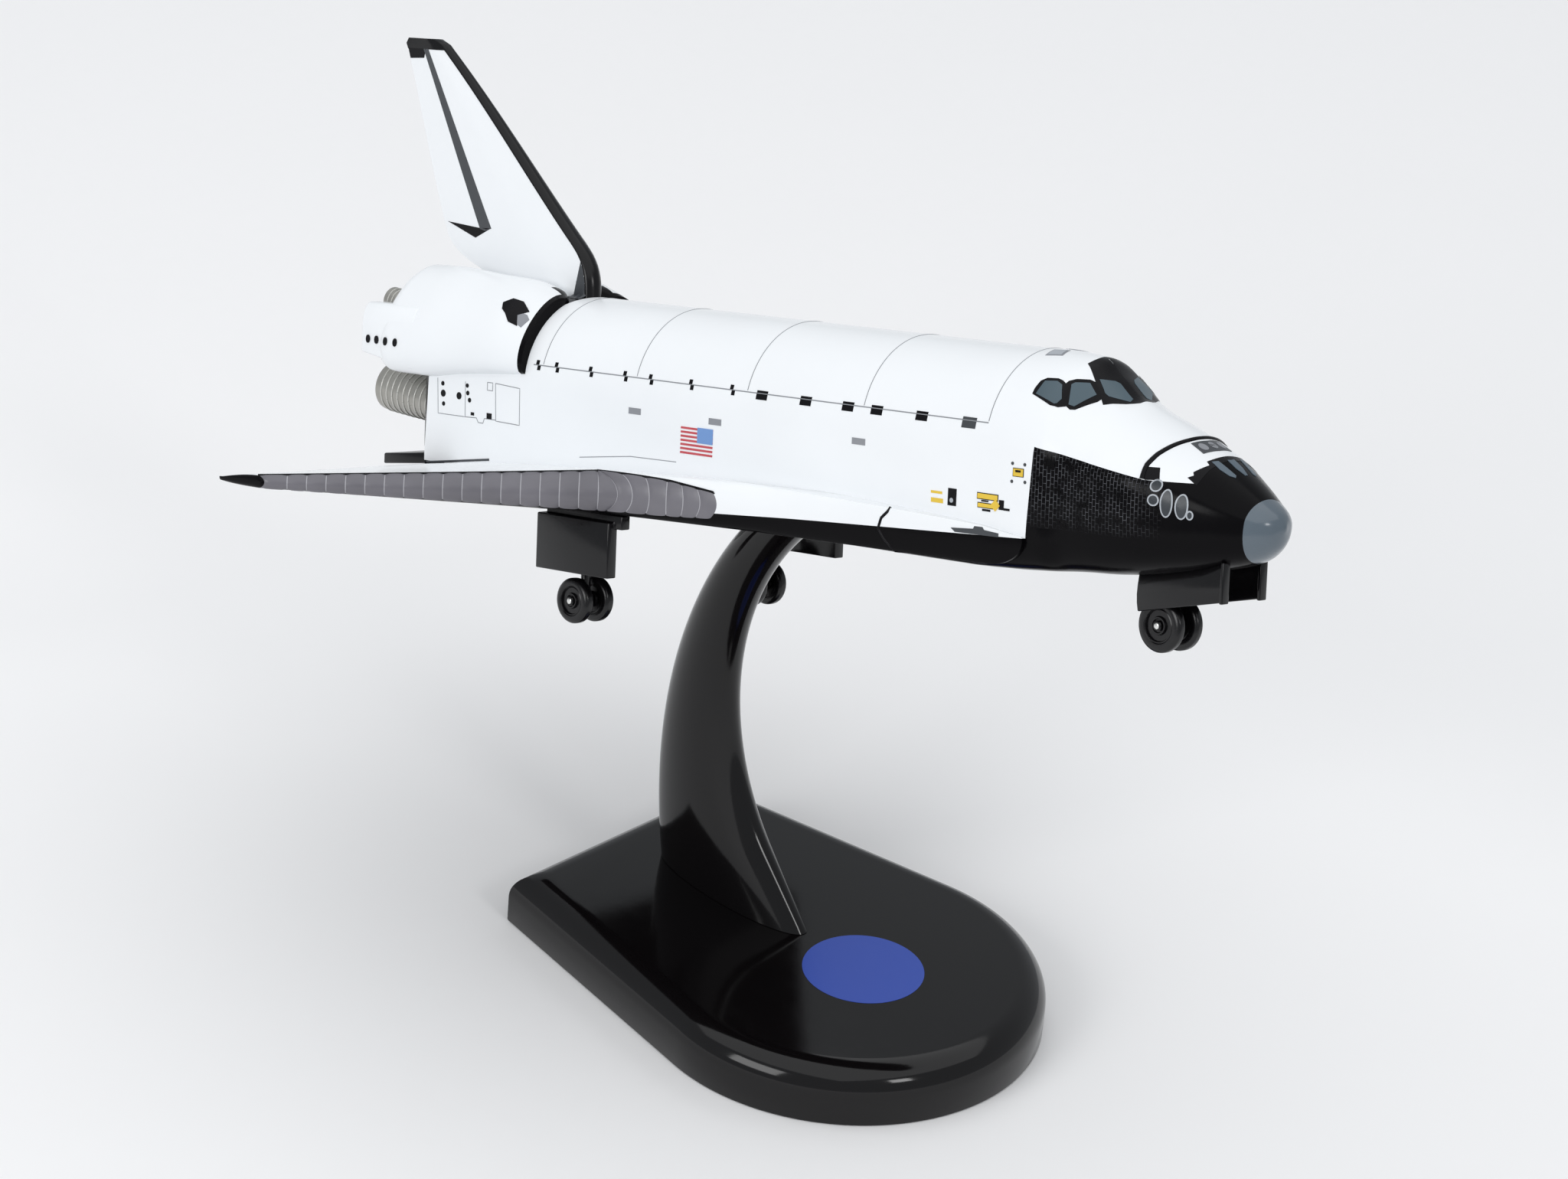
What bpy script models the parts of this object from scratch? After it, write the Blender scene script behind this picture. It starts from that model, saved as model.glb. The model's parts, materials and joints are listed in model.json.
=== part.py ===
"""A 1:300 display model of a space shuttle orbiter, wheels down, on a black stand.

The model is made of closed pieces, each one object. The orbiter is drawn in its
own frame, with s running aft from the nose tip, x to port and z up from the
middle of the payload bay, all in millimetres. One matrix then sets it on the
stand, nose up and banked. The stand is drawn straight in the shared frame:
origin under the middle of the base, nose toward -Y, up along +Z.
"""

import math
from dataclasses import dataclass

import bmesh
import bpy
from mathutils import Matrix, Vector

MM = 0.001
GAP = 0.06  # between pieces that touch on the real model


# Driving dimensions of the stand, in millimetres


@dataclass(frozen=True)
class Base:
    """The slab: a round front, sides that draw in, and a straight rear."""

    front_radius: float = 20.55
    arc_centre_to_rear: float = 33.1
    side_taper: float = math.radians(9.7)
    height: float = 6.05
    edge_round: float = 3.0
    arc_steps: int = 36
    edge_steps: int = 5

    @property
    def length(self):
        return self.front_radius + self.arc_centre_to_rear

    @property
    def arc_centre_y(self):
        """The arc's centre, with the origin under the middle of the slab."""
        return self.front_radius - self.length / 2


@dataclass(frozen=True)
class Arm:
    """The curved arm: its rear and front edges are two arcs in the YZ plane."""

    rear_edge_y: float = 27.1
    rear_radius: float = 59.9
    rear_middle_z: float = 17.15
    front_edge_y: float = 17.95
    front_radius: float = 26.8
    front_middle_z: float = 30.3
    foot_flare_z: float = 12.8
    half_width: float = 2.7
    top_z: float = 50.1
    bend_from_z: float = 28.0
    seat_s: float = 62.6
    stations: int = 15
    ring_steps: int = 20


@dataclass(frozen=True)
class Attitude:
    """How the orbiter sits on its arm, about a point on its own axis."""

    pivot_s: float = 60.0
    pivot_x: float = 2.64
    pivot_y: float = 13.77
    pivot_z: float = 61.12
    nose_up: float = math.radians(16.25)
    bank: float = math.radians(13.97)
    turn: float = math.radians(0.91)


# Driving dimensions of the orbiter, in millimetres


@dataclass(frozen=True)
class Station:
    """One cross-section of the body; crown and keel bend its two halves.

    A power of 2 makes half an ellipse, less a peaked half and more a squarer one.
    """

    s: float
    half_width: float
    top: float
    middle: float
    bottom: float
    crown: float
    keel: float


BELLY_Z = -11.0
BODY = (
    Station(1.15, 0.6, -4.05, -4.7, -5.5, 2.0, 2.0),
    Station(1.4, 1.35, -3.65, -4.7, -6.3, 2.0, 2.0),
    Station(2.0, 2.2, -3.1, -4.6, -7.1, 2.0, 2.1),
    Station(3.25, 3.15, -2.2, -4.4, -8.0, 1.9, 2.3),
    Station(5.3, 4.35, -0.75, -4.0, -8.75, 1.9, 2.6),
    Station(7.8, 5.45, 0.85, -3.5, -9.3, 1.95, 3.0),
    Station(10.7, 6.5, 2.25, -2.8, -9.8, 1.9, 3.5),
    Station(14.1, 7.4, 3.6, -2.0, -10.3, 1.8, 4.0),
    Station(17.1, 7.8, 4.8, -1.2, -10.55, 1.65, 4.8),
    Station(18.9, 7.9, 6.15, -0.8, -10.6, 1.5, 5.4),
    Station(20.7, 8.0, 7.6, -0.4, -10.7, 1.6, 6.0),
    Station(22.9, 8.6, 8.65, -0.2, -10.85, 1.8, 7.0),
    Station(27.3, 8.85, 8.95, 0.0, BELLY_Z, 1.9, 10.0),
    Station(31.0, 8.85, 8.9, 0.0, BELLY_Z, 2.0, 16.0),
    Station(98.0, 8.85, 8.9, 0.0, BELLY_Z, 2.0, 16.0),
    Station(105.4, 8.85, 8.9, 0.0, -10.1, 2.0, 16.0),
)
BODY_STEPS = 40
SPLIT_Z = -6.6  # the upper casting ends here and the belly begins
SPLIT_S = 20.0


@dataclass(frozen=True)
class Wing:
    """One side of the double-delta wing; the other mirrors it."""

    inner_x: float = 8.1
    root_x: float = 9.0
    glove_x: float = 12.2
    kink_x: float = 17.1
    tip_x: float = 40.5
    root_lead_s: float = 24.0
    glove_lead_s: float = 50.0
    kink_lead_s: float = 68.3
    tip_lead_s: float = 93.6
    root_trail_s: float = 106.0
    tip_trail_s: float = 99.8
    root_bottom: float = -10.5
    kink_bottom: float = -10.05
    tip_bottom: float = -8.85
    root_thick: float = 4.9
    kink_thick: float = 4.1
    tip_thick: float = 1.2
    trail_thick: float = 0.35
    trail_rise: float = 0.2  # share of the thickness by which the rear edge is raised


@dataclass(frozen=True)
class FinStation:
    """One level of the fin, from its leading to its trailing edge."""

    z: float
    lead_s: float
    trail_s: float
    half_thick: float


FIN_ROOT_Z = 8.9
FIN = (
    FinStation(FIN_ROOT_Z, 90.05, 103.5, 1.3),
    FinStation(10.3, 90.15, 106.2, 1.28),
    FinStation(11.5, 90.45, 109.2, 1.25),
    FinStation(12.7, 91.1, 111.2, 1.22),
    FinStation(13.7, 92.0, 112.1, 1.2),
    FinStation(15.1, 93.55, 112.75, 1.18),
    FinStation(32.8, 113.0, 119.6, 0.68),
    FinStation(33.5, 113.9, 119.9, 0.66),
    FinStation(33.8, 114.8, 119.5, 0.64),
)


@dataclass(frozen=True)
class PodStation:
    """One cross-section of an engine pod: a swelling on the body's round back.

    Its outer face runs between two angles up from the side, `rise` above the body.
    """

    s: float
    low: float
    high: float
    rise: float


POD = (
    PodStation(91.0, 8.5, 70.0, 0.95),
    PodStation(92.6, 7.5, 78.0, 1.35),
    PodStation(95.5, 6.0, 80.0, 2.0),
    PodStation(100.0, 3.5, 80.0, 2.25),
    PodStation(106.0, -1.0, 80.0, 2.7),
    PodStation(109.6, -1.0, 79.0, 2.7),
    PodStation(111.0, 1.0, 77.0, 2.2),
    PodStation(111.9, 4.0, 72.0, 1.3),
)
POD_STEPS = 24
POD_SHOULDER = 0.25  # how much higher the pod swells at its upper edge
POD_DEPTH = 1.0  # how far the pod reaches under the body's skin at its edges


@dataclass(frozen=True)
class Housing:
    """The box behind a pod that carries the small thrusters; its floor rises aft."""

    inner_x: float = 8.3
    outer_x: float = 10.6
    front_s: float = 106.0
    rear_s: float = 113.9
    front_floor: float = 0.5
    rear_floor: float = 1.7
    roof: float = 6.85
    corner: float = 1.1


@dataclass(frozen=True)
class Bell:
    """An engine bell, open at the back, with ribs round it."""

    throat_radius: float
    exit_radius: float
    length: float
    wall: float
    ribs: int
    rib_height: float


MAIN_BELL = Bell(1.95, 2.6, 8.2, 0.3, 9, 0.12)
POD_BELL = Bell(0.95, 1.35, 2.1, 0.22, 3, 0.08)
MAIN_BELL_LOWER_X = 4.6
MAIN_BELL_LOWER_Z = -3.3
MAIN_BELL_UPPER_Z = 3.6
MAIN_BELL_PITCH = math.radians(8.0)
POD_BELL_X = 6.1
POD_BELL_Z = 6.6
POD_BELL_PITCH = math.radians(8.0)
BULKHEAD_THICK = 1.4
BELL_STEPS = 28


@dataclass(frozen=True)
class Flap:
    """The body flap under the engines; its end hangs lower than its hinge."""

    half_width: float = 7.9
    length: float = 7.5
    top: float = -8.1
    end_drop: float = 0.75
    thick: float = 1.1


@dataclass(frozen=True)
class Gear:
    """One leg with a pair of wheels on one axle."""

    name: str
    x: float
    s: float
    axle_z: float
    wheel_radius: float
    wheel_thick: float
    wheel_spacing: float
    strut_radius: float = 0.5
    axle_radius: float = 0.36
    housing_radius: float = 0.72
    housing_length: float = 1.0


NOSE_GEAR = Gear("nose_gear", 0.0, 13.5, -14.9, 2.5, 1.14, 2.54)
MAIN_GEARS = (
    Gear("main_gear_starboard", -12.2, 77.6, -19.6, 2.25, 1.25, 2.7),
    Gear("main_gear_port", 12.2, 77.6, -19.6, 2.25, 1.25, 2.7),
)
BORE_GAP = 0.08
WHEEL_STEPS = 32


@dataclass(frozen=True)
class Door:
    """A gear door that hangs open, given by its outer face."""

    outer_x: float
    front_s: float
    rear_s: float
    thick: float
    bulge: float


NOSE_DOOR = Door(3.05, 5.3, 15.2, 0.5, 0.25)
NOSE_DOOR_DROP = 3.35
MAIN_DOOR = Door(16.6, 70.1, 80.2, 1.2, 0.0)
MAIN_DOOR_TOP = -10.95
MAIN_DOOR_BOTTOM = -16.4
HINGE_INNER_X = 14.8
HINGE_OUTER_X = 15.9
HINGE_BOTTOM = -11.6
HINGE_FRONT_S = 69.0
HINGE_REAR_S = 79.6
BAY_DEPTH = 1.2

BASE, ARM, ATTITUDE, WING = Base(), Arm(), Attitude(), Wing()
HOUSING, FLAP = Housing(), Flap()


def placement():
    """The matrix that sets the orbiter, drawn in millimetres, on its stand."""
    pivot_y = ATTITUDE.pivot_y + BASE.arc_centre_y
    pivot = Vector((ATTITUDE.pivot_x, pivot_y, ATTITUDE.pivot_z))
    return (
        Matrix.Translation(pivot)
        @ Matrix.Rotation(ATTITUDE.turn, 4, "Z")
        @ Matrix.Rotation(-ATTITUDE.nose_up, 4, "X")
        @ Matrix.Rotation(ATTITUDE.bank, 4, "Y")
        @ Matrix.Translation((0, -ATTITUDE.pivot_s, 0))
    )


# Building blocks


def clear_scene():
    for obj in list(bpy.data.objects):
        bpy.data.objects.remove(obj)


def finish_mesh(name, mesh_builder, place=None):
    """Makes an object from a bmesh in millimetres, with its faces turned outward."""
    bmesh.ops.remove_doubles(mesh_builder, verts=mesh_builder.verts, dist=1e-5)
    bmesh.ops.recalc_face_normals(mesh_builder, faces=mesh_builder.faces)
    if place is not None:
        mesh_builder.transform(place)
    mesh_builder.transform(Matrix.Scale(MM, 4))
    mesh = bpy.data.meshes.new(name)
    mesh_builder.to_mesh(mesh)
    mesh_builder.free()
    obj = bpy.data.objects.new(name, mesh)
    bpy.context.collection.objects.link(obj)
    return obj


def loft(rings):
    """A closed body through rings of equal point count, capped at both ends."""
    builder = bmesh.new()
    rows = [[builder.verts.new(point) for point in ring] for ring in rings]
    count = len(rows[0])
    for near, far in zip(rows, rows[1:]):
        for i in range(count):
            j = (i + 1) % count
            builder.faces.new((near[i], near[j], far[j], far[i]))
    builder.faces.new(rows[0])
    builder.faces.new(rows[-1])
    return builder


def revolve(profile, steps, closed=False):
    """A body of revolution about Y from (radius, along) points.

    An open profile starts and ends on the axis; a closed one makes a ring.
    """
    builder = bmesh.new()
    rows = []
    for radius, along in profile:
        if radius < 1e-9:
            rows.append([builder.verts.new((0, along, 0))])
            continue
        turn = 2 * math.pi / steps
        rows.append(
            [
                builder.verts.new(
                    (radius * math.cos(k * turn), along, radius * math.sin(k * turn))
                )
                for k in range(steps)
            ]
        )
    pairs = list(zip(rows, rows[1:]))
    if closed:
        pairs.append((rows[-1], rows[0]))
    for near, far in pairs:
        for i in range(steps):
            j = (i + 1) % steps
            corners = [near[i % len(near)], near[j % len(near)]]
            corners += [far[j % len(far)], far[i % len(far)]]
            unique = list(dict.fromkeys(corners))
            if len(unique) > 2:
                builder.faces.new(unique)
    return builder


def box(x_range, s_range, z_range):
    rings = []
    for s in s_range:
        rings.append(
            [
                (x_range[0], s, z_range[0]),
                (x_range[1], s, z_range[0]),
                (x_range[1], s, z_range[1]),
                (x_range[0], s, z_range[1]),
            ]
        )
    return loft(rings)


def combine(name, first, operation, *others):
    """Runs exact Booleans of one object with others, and keeps the result as `name`."""
    for other in others:
        modifier = first.modifiers.new(operation.title(), "BOOLEAN")
        modifier.operation = operation
        modifier.solver = "EXACT"
        modifier.object = other
    graph = bpy.context.evaluated_depsgraph_get()
    mesh = bpy.data.meshes.new_from_object(first.evaluated_get(graph))
    for obj in (first, *others):
        bpy.data.objects.remove(obj)
    mesh.name = name
    result = bpy.data.objects.new(name, mesh)
    bpy.context.collection.objects.link(result)
    return result


# The stand


def base_outline(inset):
    """The slab's outline, drawn in by `inset`: rear corners, then round the front."""
    radius = BASE.front_radius - inset
    reach = math.pi / 2 + BASE.side_taper
    points = []
    for k in range(BASE.arc_steps + 1):
        angle = -reach + 2 * reach * k / BASE.arc_steps
        points.append((radius * math.sin(angle), -radius * math.cos(angle)))
    rear_y = BASE.arc_centre_to_rear - inset
    last_x, last_y = points[-1]
    rear_x = last_x - (rear_y - last_y) * math.tan(BASE.side_taper)
    points += [(rear_x, rear_y), (-rear_x, rear_y)]
    return [(x, y + BASE.arc_centre_y) for x, y in points]


def build_base():
    levels = [(0.0, 0.0)]
    for k in range(BASE.edge_steps + 1):
        angle = math.pi / 2 * k / BASE.edge_steps
        inset = BASE.edge_round * (1 - math.cos(angle))
        z = BASE.height - BASE.edge_round * (1 - math.sin(angle))
        levels.append((inset, z))
    rings = [[(x, y, z) for x, y in base_outline(inset)] for inset, z in levels]
    return finish_mesh("stand_base", loft(rings))


def arm_edges(z):
    """The rear and front edges of the arm at height z, in the plane of the arm."""
    rise = z - ARM.rear_middle_z
    rear = ARM.rear_edge_y - ARM.rear_radius + math.sqrt(ARM.rear_radius**2 - rise**2)
    drop = max(z, ARM.foot_flare_z) - ARM.front_middle_z
    half_chord = math.sqrt(ARM.front_radius**2 - drop**2)
    front = ARM.front_edge_y - ARM.front_radius + half_chord
    front += min(z - ARM.foot_flare_z, 0) * -drop / half_chord
    return rear + BASE.arc_centre_y, front + BASE.arc_centre_y


def build_arm():
    """Stations rise from the base; the upper ones bend over and tilt to the belly."""
    place = placement()
    foot_z = BASE.height + GAP
    belly = BELLY_Z - GAP
    rear, front = arm_edges(ARM.top_z)
    plane_top = Vector((0, (rear + front) / 2, ARM.top_z))
    seat = place @ Vector((0, ARM.seat_s, belly))
    tilt_end = place.to_3x3()
    rings = []
    for k in range(ARM.stations + 1):
        z = foot_z + (ARM.top_z - foot_z) * k / ARM.stations
        part = max(0.0, (z - ARM.bend_from_z) / (ARM.top_z - ARM.bend_from_z))
        blend = part * part * (3 - 2 * part)
        rear, front = arm_edges(z)
        centre = Vector((0, (rear + front) / 2, z)) + blend * (seat - plane_top)
        tilt = Matrix.Identity(3).to_quaternion().slerp(tilt_end.to_quaternion(), blend)
        ring = []
        for i in range(ARM.ring_steps):
            angle = 2 * math.pi * i / ARM.ring_steps
            along = (rear - front) / 2 * math.sin(angle)
            offset = Vector((ARM.half_width * math.cos(angle), along, 0))
            ring.append(centre + tilt @ offset)
        rings.append(ring)
    return finish_mesh("stand_arm", loft(rings))


# The orbiter's body and wing


def body_ring(station, grow=0.0):
    ring = []
    for i in range(BODY_STEPS):
        angle = 2 * math.pi * (i + 0.5) / BODY_STEPS
        c, n = math.cos(angle), math.sin(angle)
        power = 2 / (station.crown if n > 0 else station.keel)
        x = (station.half_width + grow) * math.copysign(abs(c) ** power, c)
        reach = station.top - station.middle if n > 0 else station.middle - station.bottom
        z = station.middle + (reach + grow) * math.copysign(abs(n) ** power, n)
        ring.append((x, station.s, z))
    return ring


def body_solid(name, place):
    return finish_mesh(name, loft([body_ring(station) for station in BODY]), place)


def pod_ring(station, side, grow=0.0):
    """The outer face from low to high angle, closed by a chord inside the body."""
    back = BODY[-1]
    margin = grow / back.top
    low = math.radians(station.low) - margin
    high = math.radians(station.high) + margin
    rises = [(low, -POD_DEPTH - grow)]
    for i in range(POD_STEPS + 1):
        part = i / POD_STEPS
        swell = station.rise * (1 + POD_SHOULDER * part)
        rise = swell * math.sqrt(1 - abs(2 * part - 1) ** 4) + grow
        rises.append((low + (high - low) * part, rise))
    rises.append((high, -POD_DEPTH - grow))
    ring = []
    for angle, rise in rises:
        x = (back.half_width + rise) * math.cos(angle)
        z = (back.top + rise) * math.sin(angle)
        ring.append((side * x, station.s, z))
    return ring


def pod_solid(side, place, grow=0.0):
    rings = [pod_ring(station, side, grow) for station in POD]
    return finish_mesh("pod", loft(rings), place)


def thruster_box(side, place, grow=0.0):
    inner, outer = HOUSING.inner_x - grow, HOUSING.outer_x + grow
    roof, corner = HOUSING.roof + grow, HOUSING.corner
    rings = []
    ends = ((HOUSING.front_s, HOUSING.front_floor), (HOUSING.rear_s, HOUSING.rear_floor))
    for s, floor in ends:
        outline = [(inner, floor - grow), (outer, floor - grow), (outer, roof - 2 * corner)]
        outline += [(outer - 0.3 * corner, roof - 0.8 * corner)]
        outline += [(outer - corner, roof), (inner, roof)]
        rings.append([(side * x, s, z) for x, z in outline])
    return finish_mesh("housing", loft(rings), place)


def bay_cutter(gear, place):
    """The open wheel bay over a leg."""
    door = NOSE_DOOR if gear is NOSE_GEAR else MAIN_DOOR
    half = 2.4 if gear is NOSE_GEAR else 3.2
    return finish_mesh(
        "bay",
        box(
            (gear.x - half, gear.x + half),
            (door.front_s + 0.6, door.rear_s - 0.6),
            (BELLY_Z - 3.0, BELLY_Z + BAY_DEPTH),
        ),
        place,
    )


def build_body(place):
    body = body_solid("body", place)
    pods = [pod_solid(side, place) for side in (-1, 1)]
    pods += [thruster_box(side, place) for side in (-1, 1)]
    whole = combine("whole", body, "UNION", *pods)
    lower = finish_mesh(
        "lower", box((-12, 12), (SPLIT_S, 120), (-20, SPLIT_Z)), place
    )
    return combine(
        "orbiter_body", whole, "DIFFERENCE", lower, bay_cutter(NOSE_GEAR, place)
    )


def wing_lead(x):
    """Where the leading edge lies at span x."""
    points = (
        (0.0, WING.root_lead_s),
        (WING.root_x, WING.root_lead_s),
        (WING.glove_x, WING.glove_lead_s),
        (WING.kink_x, WING.kink_lead_s),
        (WING.tip_x, WING.tip_lead_s),
    )
    for (x0, s0), (x1, s1) in zip(points, points[1:]):
        if x <= x1:
            return s0 + (s1 - s0) * (x - x0) / (x1 - x0)
    return points[-1][1]


def wing_bottom(x):
    """The height of the flat underside at span x."""
    if x <= WING.kink_x:
        part = max(0.0, x - WING.root_x) / (WING.kink_x - WING.root_x)
        return WING.root_bottom + (WING.kink_bottom - WING.root_bottom) * part
    part = (x - WING.kink_x) / (WING.tip_x - WING.kink_x)
    return WING.kink_bottom + (WING.tip_bottom - WING.kink_bottom) * part


def wing_thick(x):
    if x <= WING.kink_x:
        part = max(0.0, x - WING.root_x) / (WING.kink_x - WING.root_x)
        return WING.root_thick + (WING.kink_thick - WING.root_thick) * part
    part = (x - WING.kink_x) / (WING.tip_x - WING.kink_x)
    return WING.kink_thick + (WING.tip_thick - WING.kink_thick) * part


def wing_ring(side, x, ceiling=None):
    """A section across the wing: a round nose, a flat bottom and a thin rear edge."""
    lead = wing_lead(x)
    span = max(0.0, x - WING.root_x) / (WING.tip_x - WING.root_x)
    trail = WING.root_trail_s + (WING.tip_trail_s - WING.root_trail_s) * span
    bottom = wing_bottom(x)
    thick = wing_thick(x)
    nose = min(thick * 0.9, (trail - lead) * 0.3)
    upper, lower = [], []
    for k in range(9):
        angle = math.pi / 2 * k / 8
        s = lead + nose * (1 - math.cos(angle))
        upper.append((s, bottom + thick / 2 * (1 + math.sin(angle))))
        lower.append((s, bottom + thick / 2 * (1 - math.sin(angle))))
    for part in (0.3, 0.6, 0.85):
        s = lead + nose + (trail - lead - nose) * part
        drop = (thick - WING.trail_thick) * (1 - WING.trail_rise) * part**1.6
        upper.append((s, bottom + thick - drop))
        rise = (thick - WING.trail_thick) * WING.trail_rise
        lower.append((s, bottom + rise * part**3))
    upper.append((trail, bottom + rise + WING.trail_thick))
    lower.append((trail, bottom + rise))
    outline = lower[:0:-1] + upper
    if ceiling is not None:
        outline = [(s, min(z, ceiling)) for s, z in outline]
    return [(side * x, s, z) for s, z in outline]


def wing_half(side, place):
    under = SPLIT_Z - 0.25
    spans = (WING.root_x, 10.5, WING.glove_x, 14.5, WING.kink_x, 24.5, 32.0, WING.tip_x)
    rings = [
        wing_ring(side, WING.inner_x, under),
        wing_ring(side, WING.root_x - 0.02, under),
    ]
    rings += [wing_ring(side, x) for x in spans]
    return finish_mesh("half", loft(rings), place)


def build_wing(place):
    belly = body_solid("belly", place)
    keep = finish_mesh(
        "keep", box((-12, 12), (SPLIT_S + GAP, 120), (-20, SPLIT_Z - GAP)), place
    )
    belly = combine("belly", belly, "INTERSECT", keep)
    halves = [wing_half(side, place) for side in (-1, 1)]
    whole = combine("whole", belly, "UNION", *halves)
    bays = [bay_cutter(gear, place) for gear in MAIN_GEARS]
    return combine("wing_and_belly", whole, "DIFFERENCE", *bays)


def fin_ring(station):
    """A round leading edge, the widest point at a third, and a narrow rear edge."""
    chord = station.trail_s - station.lead_s
    half = station.half_thick
    side = [(half * 0.5, station.lead_s + 0.12), (half * 0.8, station.lead_s + 0.6)]
    side += [(half, station.lead_s + chord * 0.33), (half * 0.5, station.trail_s)]
    other = [(-x, s) for x, s in reversed(side)]
    return [(x, s, station.z) for x, s in [(0.0, station.lead_s), *side, *other]]


def build_tail(place):
    rings = [fin_ring(station) for station in FIN]
    rings[0] = [(x, s, z + GAP) for x, s, z in rings[0]]
    return finish_mesh("vertical_tail", loft(rings), place)


# Engines


def bell_profile(bell):
    """The bell's outline from the throat's centre, out over the ribs and back inside."""
    rows = [(0.0, 0.0), (bell.throat_radius, 0.0)]
    pitch = bell.length / (bell.ribs + 1)
    for k in range(1, bell.ribs + 1):
        for shift, height in ((-0.3, 0.0), (0.0, bell.rib_height), (0.3, 0.0)):
            along = pitch * (k + shift)
            rows.append((bell_radius(bell, along) + height, along))
    rows.append((bell.exit_radius, bell.length))
    rows.append((bell.exit_radius - bell.wall, bell.length))
    for part in (0.7, 0.4):
        along = bell.length * part
        rows.append((bell_radius(bell, along) - bell.wall, along))
    rows.append((0.0, bell.length * 0.3))
    return rows


def bell_radius(bell, along):
    part = along / bell.length
    return bell.throat_radius + (bell.exit_radius - bell.throat_radius) * math.sqrt(part)


def build_bell(name, bell, x, s, z, pitch, place):
    local = Matrix.Translation((x, s, z)) @ Matrix.Rotation(pitch, 4, "X")
    return finish_mesh(name, revolve(bell_profile(bell), BELL_STEPS), place @ local)


def build_engines(place):
    """The black bulkhead, three main bells on it, and one bell on each pod."""
    start = BODY[-1].s + GAP
    rings = []
    floor = FLAP.top + 2 * GAP
    for s, shrink in ((start, 0.94), (start + BULKHEAD_THICK, 0.88)):
        outline = [(x * shrink, z * shrink) for x, _, z in body_ring(BODY[-1])]
        rings.append([(x, s, max(z, floor)) for x, z in outline])
    plate = finish_mesh("plate", loft(rings), place)
    around = [pod_solid(side, place, 0.1) for side in (-1, 1)]
    around += [thruster_box(side, place, 0.1) for side in (-1, 1)]
    combine("engine_bulkhead", plate, "DIFFERENCE", *around)

    tilt = MAIN_BELL.throat_radius * math.sin(MAIN_BELL_PITCH)
    bell_s = start + BULKHEAD_THICK + GAP + tilt
    spots = (
        ("main_engine_top", 0.0, MAIN_BELL_UPPER_Z),
        ("main_engine_starboard", -MAIN_BELL_LOWER_X, MAIN_BELL_LOWER_Z),
        ("main_engine_port", MAIN_BELL_LOWER_X, MAIN_BELL_LOWER_Z),
    )
    for name, x, z in spots:
        build_bell(name, MAIN_BELL, x, bell_s, z, MAIN_BELL_PITCH, place)
    pod_end = POD[-1].s + GAP + POD_BELL.throat_radius * math.sin(POD_BELL_PITCH)
    for name, side in (("pod_engine_starboard", -1), ("pod_engine_port", 1)):
        x = side * POD_BELL_X
        build_bell(name, POD_BELL, x, pod_end, POD_BELL_Z, POD_BELL_PITCH, place)


def build_flap(place):
    start = BODY[-1].s + GAP
    half = FLAP.half_width
    rings = []
    for part in (0.0, 1.0):
        s = start + FLAP.length * part
        top = FLAP.top - FLAP.end_drop * part
        low = top - FLAP.thick
        rings.append([(-half, s, low), (half, s, low), (half, s, top), (-half, s, top)])
    return finish_mesh("body_flap", loft(rings), place)


# The landing gear


def across(gear, x, place):
    """Places a body of revolution, drawn about Y, along the axle of a leg."""
    turn = Matrix.Rotation(-math.pi / 2, 4, "Z")
    return place @ Matrix.Translation((gear.x + x, gear.s, gear.axle_z)) @ turn


def rod(name, radius, length, steps, place):
    half = length / 2
    profile = [(0.0, -half), (radius, -half), (radius, half), (0.0, half)]
    return finish_mesh(name, revolve(profile, steps), place)


def build_leg(gear, place):
    """A round strut down from the bay, and the housing that the axle turns in."""
    top = BELLY_Z + BAY_DEPTH - GAP
    foot = gear.axle_z + 0.8 * gear.housing_radius
    height = top - foot
    upright = (
        place
        @ Matrix.Translation((gear.x, gear.s, foot + height / 2))
        @ Matrix.Rotation(math.pi / 2, 4, "X")
    )
    strut = rod("strut", gear.strut_radius, height, 20, upright)
    axis = across(gear, 0, place)
    housing = rod("housing", gear.housing_radius, gear.housing_length, 24, axis)
    whole = combine("whole", strut, "UNION", housing)
    bore = rod("bore", gear.axle_radius + BORE_GAP, 3 * gear.housing_length, 24, axis)
    return combine(gear.name + "_leg", whole, "DIFFERENCE", bore)


def build_wheels(gear, place):
    """The axle with its two heads, and the pair of wheels on it."""
    face = gear.wheel_spacing / 2 + gear.wheel_thick / 2
    head, reach = gear.axle_radius * 1.4, face + 0.3
    profile = [(0.0, -reach), (head, -reach), (head, -face - GAP)]
    profile += [(gear.axle_radius, -face - GAP), (gear.axle_radius, face + GAP)]
    profile += [(head, face + GAP), (head, reach), (0.0, reach)]
    axle = revolve(profile, 24)
    finish_mesh(gear.name + "_axle", axle, across(gear, 0, place))
    half, rim = gear.wheel_thick / 2, gear.wheel_radius
    bore = gear.axle_radius + GAP
    tyre = [(bore, half), (rim * 0.45, half), (rim * 0.5, half - 0.15)]
    tyre += [(rim * 0.6, half - 0.15), (rim * 0.68, half), (rim * 0.85, half)]
    tyre += [(rim * 0.96, half * 0.7), (rim, half * 0.25)]
    outline = tyre + [(radius, -along) for radius, along in reversed(tyre)]
    for which, side in (("inner", -1), ("outer", 1)):
        x = side * math.copysign(gear.wheel_spacing / 2, gear.x or 1)
        label = which if gear.x else ("starboard" if x < 0 else "port")
        wheel = revolve(outline, WHEEL_STEPS, closed=True)
        finish_mesh(f"{gear.name}_wheel_{label}", wheel, across(gear, x, place))


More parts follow.
